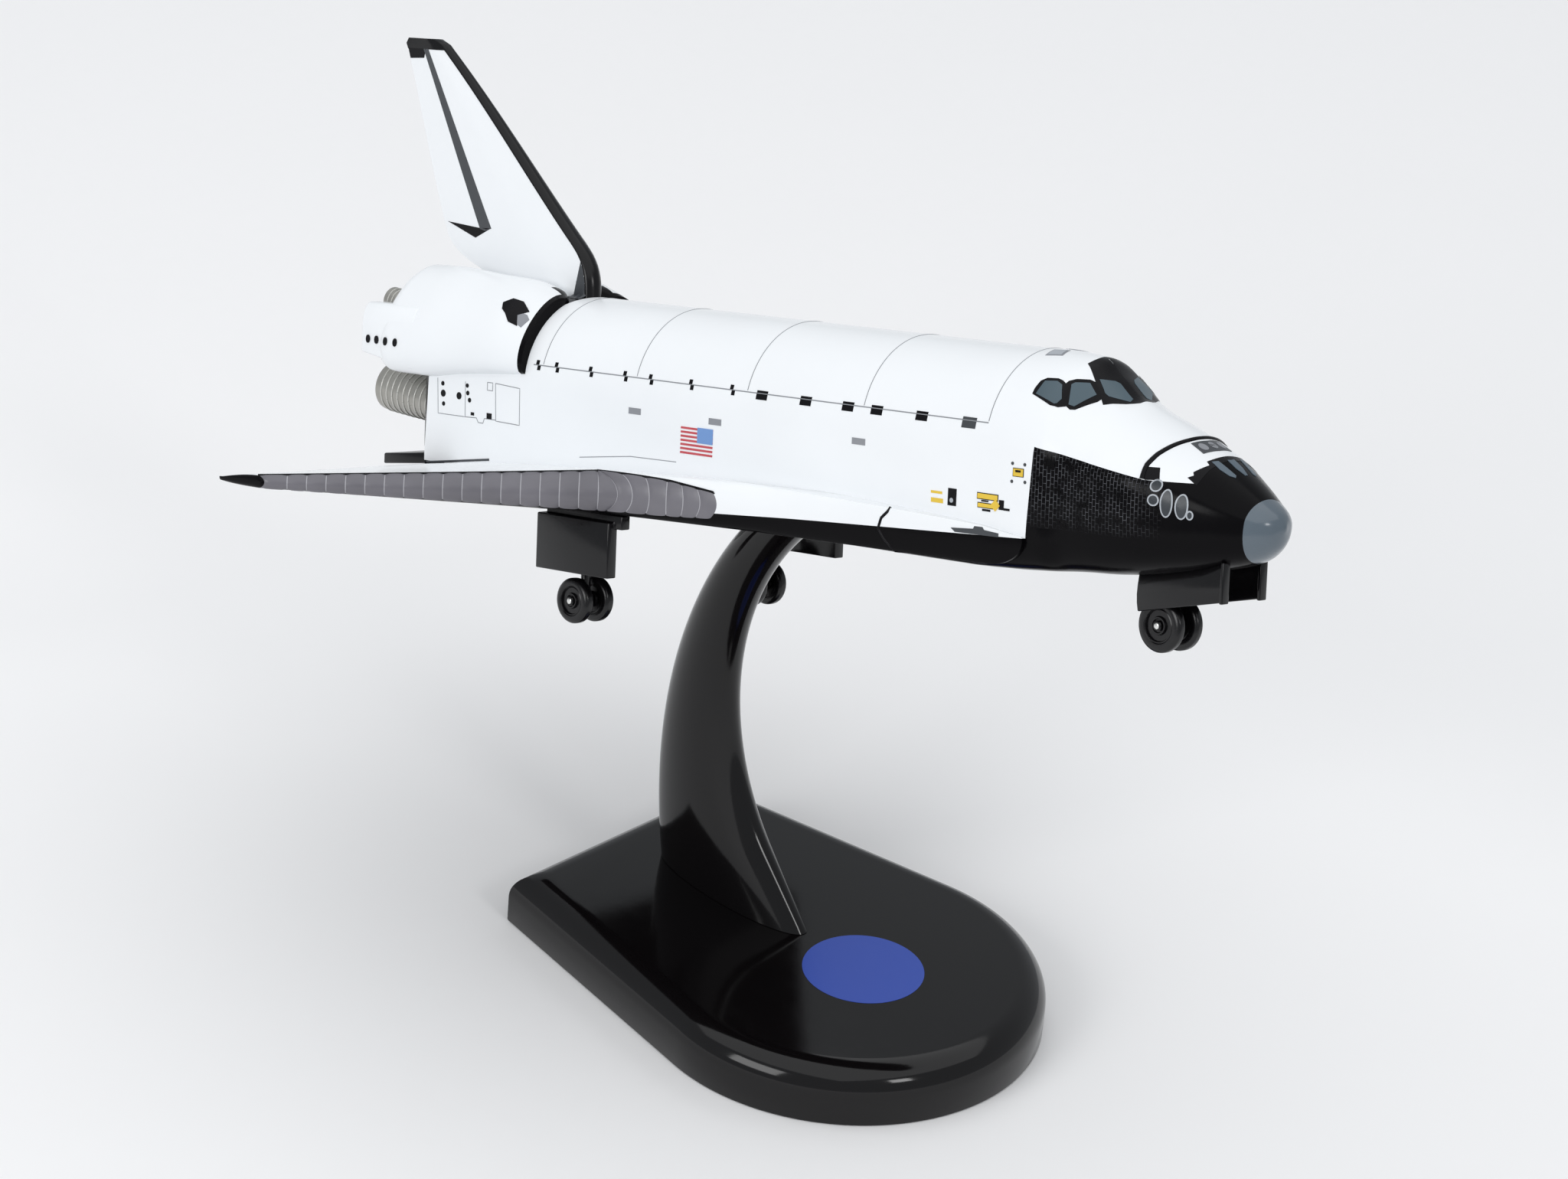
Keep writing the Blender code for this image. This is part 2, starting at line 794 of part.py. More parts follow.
def belly_height(x, s):
    """The underside of the body at (x, s), read across its cross-sections."""
    for fore, aft in zip(BODY, BODY[1:]):
        if s <= aft.s:
            break
    part = (s - fore.s) / (aft.s - fore.s)
    heights = []
    for station in (fore, aft):
        share = min(abs(x) / station.half_width, 1.0)
        depth = (1 - share**station.keel) ** (1 / station.keel)
        heights.append(station.middle - (station.middle - station.bottom) * depth)
    return heights[0] + (heights[1] - heights[0]) * part


def door(name, side, shape, stations, place):
    """A door through (s, top, bottom) stations, curved outward by its bulge."""
    rings = []
    for s, top, bottom in stations:
        outer = []
        for k in range(5):
            part = k / 4
            x = shape.outer_x - shape.bulge * (2 * part - 1) ** 2
            outer.append((x, top + (bottom - top) * part))
        inner = [(x - shape.thick, z) for x, z in reversed(outer)]
        rings.append([(side * x, s, z) for x, z in outer + inner])
    return finish_mesh(name, loft(rings), place)


def nose_door(side, label, place):
    """It hangs from the curved underside and ends in a straight lower edge."""
    front, rear = NOSE_DOOR.front_s, NOSE_DOOR.rear_s
    reach = (NOSE_DOOR.outer_x - NOSE_DOOR.bulge - NOSE_DOOR.thick, NOSE_DOOR.outer_x)
    between = [station.s for station in BODY if front < station.s < rear]

    def roof(s):
        return min(belly_height(x, s) for x in reach)

    stations = []
    for s in (front, *between, rear):
        share = (s - front) / (rear - front)
        bottom = roof(front) + (roof(rear) - roof(front)) * share - NOSE_DOOR_DROP
        stations.append((s, roof(s) - 2 * GAP, bottom))
    door(f"nose_gear_door_{label}", side, NOSE_DOOR, stations, place)


def main_door(side, label, place):
    """A flat door with the hinge bar that it hangs from under the wing."""
    ends = (MAIN_DOOR.front_s, MAIN_DOOR.rear_s)
    stations = [(s, MAIN_DOOR_TOP, MAIN_DOOR_BOTTOM) for s in ends]
    leaf = door("leaf", side, MAIN_DOOR, stations, place)
    low, high = sorted((side * HINGE_INNER_X, side * HINGE_OUTER_X))
    heights = (HINGE_BOTTOM, wing_bottom(HINGE_INNER_X) - GAP)
    lengths = (HINGE_FRONT_S, HINGE_REAR_S)
    bar = finish_mesh("bar", box((low, high), lengths, heights), place)
    combine(f"main_gear_door_{label}", leaf, "UNION", bar)


def build_gear(place):
    for gear in (NOSE_GEAR, *MAIN_GEARS):
        build_leg(gear, place)
        build_wheels(gear, place)
    for label, side in (("starboard", -1), ("port", 1)):
        nose_door(side, label, place)
        main_door(side, label, place)


def main():
    clear_scene()
    place = placement()
    build_base()
    build_arm()
    build_body(place)
    build_wing(place)
    build_tail(place)
    build_engines(place)
    build_flap(place)
    build_gear(place)


main()
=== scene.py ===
"""Looks of a 1:300 display model of a space shuttle orbiter on its stand.

The orbiter's pieces are shaped in its own frame, in millimetres: x to port, s aft
from the nose tip and z up from the middle of the payload bay. The wheels' hinges
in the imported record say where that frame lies, so a piece goes where the CAD is.
The stand is shaped straight in the shared frame, from the boxes of its CAD nodes.
"""

import json
import logging
import math
from dataclasses import dataclass, field
from enum import Enum
from functools import cached_property
from typing import Iterable, Sequence

import bmesh
import bpy
from mathutils import Matrix, Vector
from mathutils.bvhtree import BVHTree
from mathutils.geometry import delaunay_2d_cdt

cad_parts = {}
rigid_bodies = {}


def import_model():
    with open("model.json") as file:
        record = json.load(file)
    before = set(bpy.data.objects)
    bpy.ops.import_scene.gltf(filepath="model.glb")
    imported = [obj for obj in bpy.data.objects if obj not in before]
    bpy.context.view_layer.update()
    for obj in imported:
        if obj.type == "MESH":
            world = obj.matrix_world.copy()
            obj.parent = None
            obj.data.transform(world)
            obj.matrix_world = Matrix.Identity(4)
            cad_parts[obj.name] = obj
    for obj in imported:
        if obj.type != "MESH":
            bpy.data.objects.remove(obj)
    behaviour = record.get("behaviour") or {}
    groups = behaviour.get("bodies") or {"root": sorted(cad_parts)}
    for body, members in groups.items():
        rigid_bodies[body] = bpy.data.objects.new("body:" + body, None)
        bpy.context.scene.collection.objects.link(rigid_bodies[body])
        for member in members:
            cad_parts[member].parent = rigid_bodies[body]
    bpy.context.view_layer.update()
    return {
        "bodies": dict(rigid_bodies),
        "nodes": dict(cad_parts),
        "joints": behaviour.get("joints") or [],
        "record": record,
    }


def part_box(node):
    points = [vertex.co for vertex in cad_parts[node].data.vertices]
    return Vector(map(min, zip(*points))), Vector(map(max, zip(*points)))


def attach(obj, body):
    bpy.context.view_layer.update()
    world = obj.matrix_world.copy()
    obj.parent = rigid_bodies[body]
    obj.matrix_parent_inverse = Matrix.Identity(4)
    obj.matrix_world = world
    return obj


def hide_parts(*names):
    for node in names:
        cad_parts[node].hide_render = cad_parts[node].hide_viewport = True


log = logging.getLogger("orbiter_model")

MM = 0.001
BODY = "model"
MATH = "ShaderNodeMath"
MAP_RANGE = "ShaderNodeMapRange"
NOISE = "ShaderNodeTexNoise"
CIRCLE = "GeometryNodeCurvePrimitiveCircle"

Flat = tuple[float, float]
Point = tuple[float, float, float]
Table = tuple[tuple[float, ...], ...]
Shape = tuple[list[Vector], list[tuple[int, ...]]]
Tree = bpy.types.NodeTree
Source = bpy.types.Node | bpy.types.NodeSocket
Coats = tuple[list[tuple[Source, str]], Source | None]

# The middle of the nose axle and of the port main axle, in the orbiter's own frame
NOSE_AXLE: Point = (0.0, 13.5, -14.9)
MAIN_AXLE: Point = (12.2, 77.6, -19.6)


class Side(Enum):
    """A side of the orbiter, by the sign of its x."""

    STARBOARD = -1
    PORT = 1

    @property
    def label(self) -> str:
        """Its word in a piece's name."""
        return self.name.lower()

    def turned(self, starboard: Shape) -> Shape:
        """A starboard shape, or its mirror image to port."""
        return mirrored(starboard) if self is Side.PORT else starboard


class Slot(Enum):
    """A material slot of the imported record."""

    WHITE = "white_gloss"
    BLACK = "black_gloss"
    NOZZLE = "nozzle_metal"
    WHEEL = "wheel_black"
    PIN = "pin_metal"


def orbiter_placement(joints: list[dict]) -> Matrix:
    """Finds where the orbiter's own frame lies, from its wheels' hinges.

    Args:
        joints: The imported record's joints, with name, pos_m and axis.

    Returns:
        The matrix from orbiter millimetres to frame metres.
    """
    by_name = {joint["name"]: joint for joint in joints}
    names = ("nose_wheels_turn", "main_wheels_starboard_turn", "main_wheels_port_turn")
    nose, starboard, port = (Vector(by_name[name]["pos_m"]) for name in names)
    across = Vector(by_name[names[0]]["axis"]).normalized()
    aft = (starboard + port) / 2 - nose
    aft -= across * aft.dot(across)
    lean = math.atan2(MAIN_AXLE[2] - NOSE_AXLE[2], MAIN_AXLE[1] - NOSE_AXLE[1])
    along = Matrix.Rotation(-lean, 3, across) @ aft.normalized()
    up = across.cross(along)
    turn = Matrix((across, along, up)).transposed().to_4x4()
    origin = nose - MM * (NOSE_AXLE[1] * along + NOSE_AXLE[2] * up)
    return Matrix.Translation(origin) @ turn @ Matrix.Scale(MM, 4)


# Materials


def linear(code: str) -> tuple[float, ...]:
    """Turns an sRGB hex code into a linear colour.

    Args:
        code: Six hex digits after a hash mark.

    Returns:
        Red, green, blue and alpha.
    """
    parts = [int(code[k : k + 2], 16) / 255 for k in (1, 3, 5)]
    return (*(c / 12.92 if c <= 0.04045 else ((c + 0.055) / 1.055) ** 2.4 for c in parts), 1.0)


def add_node(tree: Tree, kind: str, inputs: dict | tuple = (), **settings: object) -> bpy.types.Node:
    """Adds a node with its settings, values and links.

    Args:
        tree: The tree that the node goes into.
        kind: The node's type name.
        inputs: Values, sockets or nodes, in order or by the input's name or number.
        **settings: The node's own properties.

    Returns:
        The new node.
    """
    node = tree.nodes.new(kind)
    for name, value in settings.items():
        setattr(node, name, value)
    for key, value in inputs.items() if isinstance(inputs, dict) else enumerate(inputs):
        if isinstance(value, bpy.types.Node):
            value = value.outputs[0]
        if isinstance(value, bpy.types.NodeSocket):
            tree.links.new(value, node.inputs[key])
        else:
            node.inputs[key].default_value = value
    return node


def under_line(tree: Tree, value: Source, along: Source, start: Flat, end: Flat) -> Source:
    """A mask that is 1 where a value is under a straight line, level past its ends.

    Args:
        tree: The material's tree.
        value: What is compared, such as the height.
        along: What the line runs along, such as the distance aft.
        start: Where the line starts: along, value.
        end: Where it ends.

    Returns:
        The mask.
    """
    line = add_node(tree, MAP_RANGE, (along, start[0], end[0], start[1], end[1]))
    return add_node(tree, MATH, (value, line), operation="LESS_THAN")


@dataclass(frozen=True)
class Finish:
    """A surface: its colour, how light meets it, and how uneven it is."""

    name: str
    colour: str
    roughness: float
    metallic: float = 0.0
    coat: float = 0.0
    specular: float = 0.5
    grain_mm: float = 0.8
    bump_mm: float = 0.004
    mottle: float = 0.03
    coat_roughness: float = 0.06
    uneven_gloss: float = 0.15
    # Mottling is this much coarser than the grain
    coarser: float = 14.0
    # Between these a noise has most of its values
    noise_range: Flat = (0.3, 0.7)

    def build(self) -> bpy.types.Material:
        """Makes the material: its coats, slightly mottled, with uneven gloss and a fine grain.

        Returns:
            The material.
        """
        material = bpy.data.materials.new(self.name)
        material.use_nodes = True
        material.diffuse_color = linear(self.colour)
        tree = material.node_tree
        shader = tree.nodes["Principled BSDF"]
        shader.inputs["Metallic"].default_value = self.metallic
        shader.inputs["Specular IOR Level"].default_value = self.specular
        shader.inputs["Coat Weight"].default_value = self.coat
        shader.inputs["Coat Roughness"].default_value = self.coat_roughness
        place, per_mm = self.place(tree)
        top = add_node(tree, "ShaderNodeRGB").outputs[0]
        top.default_value = linear(self.colour)
        coats, relief = self.coats(tree, place)
        for mask, code in coats:
            layers = {"Factor": mask, 6: top, 7: linear(code)}
            top = add_node(tree, "ShaderNodeMix", layers, data_type="RGBA").outputs[2]
        fine = {"Vector": place, "Scale": per_mm / self.grain_mm, "Detail": 3.0, "Roughness": 0.55}
        grain = add_node(tree, NOISE, fine)
        coarse = {"Vector": place, "Scale": per_mm / (self.grain_mm * self.coarser), "Detail": 2.0}
        drift = add_node(tree, NOISE, coarse)
        shade = add_node(tree, MAP_RANGE, (drift, *self.noise_range, 1 - self.mottle, 1 + self.mottle))
        tinted = add_node(tree, "ShaderNodeVectorMath", {0: top, 3: shade}, operation="SCALE")
        low, high = self.roughness * (1 - self.uneven_gloss), self.roughness * (1 + self.uneven_gloss)
        gloss = add_node(tree, MAP_RANGE, (grain, *self.noise_range, low, high))
        height = add_node(tree, MATH, (grain, self.bump_mm), operation="MULTIPLY")
        if relief is not None:
            height = add_node(tree, MATH, (height, relief), operation="ADD")
        bump = add_node(tree, "ShaderNodeBump", {"Height": height, "Distance": MM, "Strength": 1.0})
        for name, node in (("Base Color", tinted), ("Roughness", gloss), ("Normal", bump)):
            tree.links.new(node.outputs[0], shader.inputs[name])
        return material

    def place(self, tree: Tree) -> tuple[Source, float]:
        """The coordinates that the patterns read, and how many of them a millimetre has."""
        return add_node(tree, "ShaderNodeTexCoord").outputs["Object"], 1 / MM

    def coats(self, tree: Tree, place: Source) -> Coats:
        """Masked coats over the first colour, and a relief in millimetres: here neither."""
        return [], None


@dataclass(frozen=True)
class OrbiterPaint(Finish):
    """Spray lacquer on the die-cast orbiter: sharp masked edges between the coats.

    It reads the orbiter's own millimetres, so that each edge has a real place.
    """

    placement: Matrix = field(default_factory=Matrix)
    foot: tuple[Flat, Flat] = ((89.8, 0.0), (91.0, 3.6))
    foot_end: float = 93.1

    def place(self, tree: Tree) -> tuple[Source, float]:
        """The orbiter's own coordinates, of which a millimetre has one.

        Args:
            tree: The material's tree.

        Returns:
            The coordinates and the number one.
        """
        shared = add_node(tree, "ShaderNodeTexCoord").outputs["Object"]
        shift = {"Location": self.placement.inverted().to_translation(), "Scale": (1 / MM,) * 3}
        return self.own(tree, shared, "POINT", shift), 1.0

    def own(self, tree: Tree, shared: Source, kind: str, shift: dict | None = None) -> Source:
        """Turns coordinates of the shared frame into the orbiter's own.

        Args:
            tree: The material's tree.
            shared: The coordinates.
            kind: POINT for a place, VECTOR for a direction.
            shift: The mapping's own Location and Scale, for a place.

        Returns:
            The mapped coordinates.
        """
        turn = self.placement.inverted().to_3x3().normalized().to_euler()
        settings = {"Vector": shared, "Rotation": turn, **(shift or {})}
        return add_node(tree, "ShaderNodeMapping", settings, vector_type=kind).outputs[0]

    def fin_foot(self, tree: Tree, x: Source, s: Source) -> Source:
        """A mask of the black triangle in front of the fin, which widens aft.

        Args:
            tree: The material's tree.
            x: Distance to port.
            s: Distance aft of the nose.

        Returns:
            The mask.
        """
        span = add_node(tree, MATH, (x,), operation="ABSOLUTE")
        wide = under_line(tree, span, s, *self.foot)
        ahead = add_node(tree, MATH, (s, self.foot_end), operation="LESS_THAN")
        return add_node(tree, MATH, (wide, ahead), operation="MULTIPLY")


BLACK = "#080709"
WHITE = "#f2f4f6"
SLATE = "#56626c"
# A paler grey on the tiles' joints: a painted glint
TILE_GLINT_GREY = "#626368"


@dataclass(frozen=True)
class BodyPaint(OrbiterPaint):
    """White lacquer with a black belly, nose and chines.

    The black chines are cast with rows of small tiles, which catch the light; their joints get a paler grey
    as a painted glint.
    """

    chine_front: Flat = (12.0, -1.2)
    chine_rear: Flat = (23.4, 0.72)
    chine_foot: Flat = (23.95, -7.7)
    belly_rear: Flat = (60.0, -8.8)
    black_nose_s: float = 7.9
    tile: Flat = (0.62, 0.36)
    tile_gap: float = 0.045
    tile_height: float = 0.3
    # Over these heights and distances the tiles come up out of the smooth nose
    tiles_fade_z: Flat = (-6.6, -4.2)
    tiles_fade_s: Flat = (10.0, 13.5)
    # The painted glint on the joints: its strength, and the noise that makes it patchy
    glint: float = 5.0
    glint_range: Flat = (0.34, 0.62)
    glint_scale: float = 0.9

    def coats(self, tree: Tree, place: Source) -> Coats:
        """Black chines, belly, nose and fin foot, then a painted glint on the tiles' joints; and their
        relief.

        Args:
            tree: The material's tree.
            place: The orbiter's own coordinates.

        Returns:
            The coats in the order they are sprayed, and the relief.
        """
        x, s, z = add_node(tree, "ShaderNodeSeparateXYZ", (place,)).outputs
        chine = under_line(tree, z, s, self.chine_front, self.chine_rear)
        ahead = under_line(tree, s, z, self.chine_foot[::-1], self.chine_rear[::-1])
        panel = add_node(tree, MATH, (chine, ahead), operation="MULTIPLY")
        belly = under_line(tree, z, s, self.chine_foot, self.belly_rear)
        nose = add_node(tree, MATH, (s, self.black_nose_s), operation="LESS_THAN")
        # joints is the mask of the painted glint on the tiles' joints
        relief, joints = self.tiles(tree, s, z, panel)
        black = (panel, belly, nose, self.fin_foot(tree, x, s))
        return [*((mask, BLACK) for mask in black), (joints, TILE_GLINT_GREY)], relief

    def tiles(self, tree: Tree, s: Source, z: Source, panel: Source) -> tuple[Source, Source]:
        """The chine's tiles, which fade out towards the belly and the nose.

        Args:
            tree: The material's tree.
            s: Distance aft of the nose.
            z: Height.
            panel: The mask of the chine.

        Returns:
            The relief in millimetres, and how much painted glint the joints get.
        """
        plan = add_node(tree, "ShaderNodeCombineXYZ", (z, s))
        pattern = {"Color1": (1, 1, 1, 1), "Color2": (0.35, 0.35, 0.35, 1), "Mortar": (0, 0, 0, 1)}
        pattern |= {"Mortar Size": self.tile_gap, "Mortar Smooth": 0.8, "Scale": 1.0}
        pattern |= {"Vector": plan, "Brick Width": self.tile[0], "Row Height": self.tile[1]}
        bricks = add_node(tree, "ShaderNodeTexBrick", pattern)
        held = add_node(tree, MAP_RANGE, (z, *self.tiles_fade_z, 0.0, self.tile_height))
        nose_fade = add_node(tree, MAP_RANGE, (s, *self.tiles_fade_s, 0.0, 1.0))
        for share in (nose_fade, panel):
            held = add_node(tree, MATH, (held, share), operation="MULTIPLY")
        height = add_node(tree, MATH, (bricks, held), operation="MULTIPLY")
        # The painted glint lies in patches over the joints
        patchy = add_node(tree, NOISE, {"Vector": plan, "Scale": self.glint_scale})
        glint = add_node(tree, MAP_RANGE, (patchy, *self.glint_range, 0.0, self.glint))
        for share in (bricks.outputs["Fac"], held):
            glint = add_node(tree, MATH, (glint, share), operation="MULTIPLY")
        return height, glint


@dataclass(frozen=True)
class WingPaint(OrbiterPaint):
    """White lacquer above, black below and round the tip."""

    split_front: Flat = (24.0, -7.7)
    split_rear: Flat = (58.4, -8.85)
    glove_x: float = 15.0
    tip_x: float = 40.25
    down: float = -0.25

    def coats(self, tree: Tree, place: Source) -> Coats:
        """Black where a face looks down, on the glove's lower half and at the tip.

        Args:
            tree: The material's tree.
            place: The orbiter's own coordinates.

        Returns:
            The coats, and no relief.
        """
        x, s, z = add_node(tree, "ShaderNodeSeparateXYZ", (place,)).outputs
        facing = add_node(tree, "ShaderNodeNewGeometry").outputs["Normal"]
        turned = add_node(tree, "ShaderNodeSeparateXYZ", (self.own(tree, facing, "VECTOR"),))
        under = add_node(tree, MATH, (turned.outputs[2], self.down), operation="LESS_THAN")
        span = add_node(tree, MATH, (x,), operation="ABSOLUTE")
        low = under_line(tree, z, s, self.split_front, self.split_rear)
        inboard = add_node(tree, MATH, (span, self.glove_x), operation="LESS_THAN")
        glove = add_node(tree, MATH, (low, inboard), operation="MULTIPLY")
        tip = add_node(tree, MATH, (span, self.tip_x), operation="GREATER_THAN")
        return [(mask, BLACK) for mask in (under, glove, tip)], None


@dataclass(frozen=True)
class PodPaint(OrbiterPaint):
    """White lacquer with a black front lip."""

    lip_s: float = 91.55

    def coats(self, tree: Tree, place: Source) -> Coats:
        """Black on the lip and beside the fin's foot.

        Args:
            tree: The material's tree.
            place: The orbiter's own coordinates.

        Returns:
            The coats, and no relief.
        """
        x, s, _ = add_node(tree, "ShaderNodeSeparateXYZ", (place,)).outputs
        lip = add_node(tree, MATH, (s, self.lip_s), operation="LESS_THAN")
        return [(lip, BLACK), (self.fin_foot(tree, x, s), BLACK)], None


def make_materials(placement: Matrix) -> dict[str, bpy.types.Material]:
    """Makes every material of the model.

    Args:
        placement: From orbiter millimetres to the shared frame.

    Returns:
        The materials by a short name.
    """
    lacquer = {"roughness": 0.2, "specular": 0.08, "grain_mm": 0.9, "bump_mm": 0.006, "mottle": 0.012}
    masked = {**lacquer, "placement": placement}
    finishes = {
        # Gloss lacquer on die-cast zinc: smooth, with a faint orange peel
        "body": BodyPaint("body_lacquer", WHITE, **masked),
        "wing": WingPaint("wing_lacquer", WHITE, **masked),
        "pod": PodPaint("pod_lacquer", WHITE, **masked),
        "white": Finish("white_lacquer", WHITE, **lacquer),
        "cap": Finish("nose_cap_lacquer", SLATE, roughness=0.24, coat=0.35, bump_mm=0.005),
        "black": Finish("black_lacquer", BLACK, roughness=0.22, specular=0.3, bump_mm=0.006),
        # Pad-printed ink: thin, a little duller than the lacquer under it
        "ink_black": Finish("black_ink", "#0c0b0e", roughness=0.28, specular=0.14, mottle=0.08),
        "ink_line": Finish("grey_line_ink", "#8d9094", roughness=0.4, mottle=0.06),
        "ink_grey": Finish("grey_ink", "#8a8c91", roughness=0.4, mottle=0.06),
        "ink_dark_grey": Finish("dark_grey_ink", "#3d4044", roughness=0.35, mottle=0.1),
        "ink_yellow": Finish("yellow_ink", "#e3bf3c", roughness=0.4, mottle=0.05),
        "ink_red": Finish("red_ink", "#c24a52", roughness=0.4, mottle=0.05),
        "ink_blue": Finish("blue_ink", "#6f95cc", roughness=0.4, mottle=0.05),
        "ink_disc": Finish("blue_disc_ink", "#2a4cb2", roughness=0.2, coat=0.2, bump_mm=0.0, mottle=0.01),
        "ink_slate": Finish("slate_ink", "#54626d", roughness=0.35, mottle=0.06),
        "ink_dark_slate": Finish("dark_slate_ink", "#1f262d", roughness=0.3, mottle=0.1),
        "ink_silver": Finish("silver_ink", "#a9aeb4", roughness=0.38, mottle=0.08),
        "glass": Finish("window_ink", "#4a5b64", roughness=0.2, specular=0.4, mottle=0.12),
        # Satin paint over the cast leading-edge panels, slightly speckled
        "panel": Finish("leading_edge_satin", "#6b696f", roughness=0.34, grain_mm=0.35, mottle=0.1),
        "joint": Finish("panel_joint_ink", "#a6a5aa", roughness=0.5),
        # Silver-grey sprayed on moulded bells: half metal flake, so it shines softly. The wall's darker grey
        # is painted shade between the ribs, and the ribs' paler grey is a painted highlight
        "nozzle": Finish("nozzle_paint", "#a19f99", roughness=0.32, metallic=0.5, grain_mm=0.3, mottle=0.08),
        "rib_highlight": Finish("nozzle_ring_paint", "#c9c8c2", roughness=0.3, metallic=0.5, grain_mm=0.3),
        # A dark skin inside the bells: painted shade in their hollow
        "liner_shade": Finish("nozzle_inside_paint", "#4b4a47", roughness=0.6, grain_mm=0.3),
        # Injection-moulded gloss ABS: deep black with clear reflections
        "stand": Finish("stand_abs", "#0c0a0b", roughness=0.1, specular=0.35, grain_mm=2.5, mottle=0.05),
        "gear": Finish("gear_abs", "#0d0c0e", roughness=0.16, specular=0.35, grain_mm=0.5, mottle=0.06),
        "wheel": Finish("wheel_abs", "#0e0d0f", roughness=0.24, specular=0.4, grain_mm=0.4, mottle=0.08),
        # Turned steel pins with a bright end
        "pin": Finish("pin_steel", "#e4e4e1", roughness=0.3, metallic=1.0, grain_mm=0.2, mottle=0.04),
    }
    return {key: finish.build() for key, finish in finishes.items()}


# Curves and shapes


class Curve:
    """A monotone cubic through the rows of a table, one curve for each column."""

    def __init__(self, rows: Table) -> None:
        """Takes the table.

        Args:
            rows: A rising position and its values, row by row.
        """
        self.at, *self.columns = zip(*rows)
        self.slopes = [self.tangents(column) for column in self.columns]

    def tangents(self, column: Sequence[float]) -> list[float]:
        """The slope at each row, held so that the curve never overshoots.

        Args:
            column: One value for each row.

        Returns:
            The slopes.
        """
        spans = zip(self.at, self.at[1:], column, column[1:])
        runs = [(b - a, (d - c) / (b - a)) for a, b, c, d in spans]
        inner = []
        for (h0, m0), (h1, m1) in zip(runs, runs[1:]):
            w0, w1 = 2 * h1 + h0, h1 + 2 * h0
            inner.append((w0 + w1) / (w0 / m0 + w1 / m1) if m0 * m1 > 0 else 0.0)
        return [runs[0][1], *inner, runs[-1][1]]

    def __call__(self, where: float) -> list[float]:
        """The values at a position.

        Args:
            where: The position.

        Returns:
            One value for each column.
        """
        k = max(0, min(len(self.at) - 2, sum(a <= where for a in self.at) - 1))
        h = self.at[k + 1] - self.at[k]
        t = min(1.0, max(0.0, (where - self.at[k]) / h))
        out = []
        for column, slope in zip(self.columns, self.slopes):
            a, b, m, n = column[k], column[k + 1], slope[k] * h, slope[k + 1] * h
            out.append(a + m * t + (3 * (b - a) - 2 * m - n) * t * t + (2 * (a - b) + m + n) * t**3)
        return out


def steps(start: float, end: float, size: float) -> list[float]:
    """Positions from start to end, no further apart than size."""
    count = max(1, math.ceil(abs(end - start) / size - 1e-9))
    return [start + (end - start) * k / count for k in range(count + 1)]


def chained(*spans: Point) -> list[float]:
    """Positions over spans that follow each other, each given by start, end and step."""
    return [at for span in spans for at in steps(*span)[:-1]] + [spans[-1][1]]


def turns(count: int, shift: float = 0.0) -> list[float]:
    """Angles spread evenly round a circle, from a share of a step on."""
    return [2 * math.pi * (k + shift) / count for k in range(count)]


def eased(share: float) -> float:
    """A share of the way that starts and ends gently."""
    return share * share * (3 - 2 * share)


def between(table: Table, x: float) -> float:
    """The value at a position, on straight lines between a table's rows.

    Args:
        table: Positions and values.
        x: The position.

    Returns:
        The value.
    """
    for (x0, v0), (x1, v1) in zip(table, table[1:]):
        if x <= x1:
            return v0 + (v1 - v0) * max(0.0, x - x0) / (x1 - x0)
    return table[-1][1]


def loft(rings: Sequence[Sequence[Point]]) -> Shape:
    """A closed skin through rings of the same count, with its two ends filled.

    Args:
        rings: Loops of points, in order along the shape.

    Returns:
        Its vertices and faces.
    """
    count = len(rings[0])
    verts = [Vector(p) for ring in rings for p in ring]
    last = len(verts) - count
    faces = [tuple(range(count - 1, -1, -1)), tuple(range(last, last + count))]
    for first in range(0, last, count):
        for k in range(count):
            a, b = first + k, first + (k + 1) % count
            faces.append((a, b, b + count, a + count))
    return verts, faces


def block(low: Point | Vector, high: Point | Vector) -> Shape:
    """A box between its lowest and highest corner."""
    across = ((low[0], low[2]), (high[0], low[2]), (high[0], high[2]), (low[0], high[2]))
    return loft([[(x, s, z) for x, z in across] for s in (low[1], high[1])])


def revolve(profile: Sequence[Flat], count: int, closed: bool = False) -> Shape:
    """Turns (radius, along) points about the z axis.

    Args:
        profile: The outline. A radius of 0 makes a pole.
        count: Steps round.
        closed: Whether the outline is a loop that keeps off the axis.

    Returns:
        Its vertices and faces.
    """
    rows, verts, faces = [], [], []
    for radius, along in profile:
        pole = radius < 1e-9
        rows.append([len(verts)] * count if pole else list(range(len(verts), len(verts) + count)))
        for angle in turns(1 if pole else count):
            verts.append(Vector((radius * math.cos(angle), radius * math.sin(angle), along)))
    for low, high in zip(rows, rows[1:] + rows[:1] if closed else rows[1:]):
        for k in range(count):
            n = (k + 1) % count
            loop = tuple(dict.fromkeys((low[k], low[n], high[n], high[k])))
            if len(loop) > 2:
                faces.append(loop)
    return verts, faces


def joined(shapes: Iterable[Shape]) -> Shape:
    """Several shapes as one.

    Args:
        shapes: The shapes.

    Returns:
        All their vertices and faces.
    """
    verts, faces = [], []
    for some_verts, some_faces in shapes:
        faces.extend(tuple(len(verts) + i for i in face) for face in some_faces)
        verts.extend(some_verts)
    return verts, faces


def mirrored(shape: Shape) -> Shape:
    """The same shape on the other side, with its faces turned round."""
    return [Vector((-v.x, v.y, v.z)) for v in shape[0]], [face[::-1] for face in shape[1]]


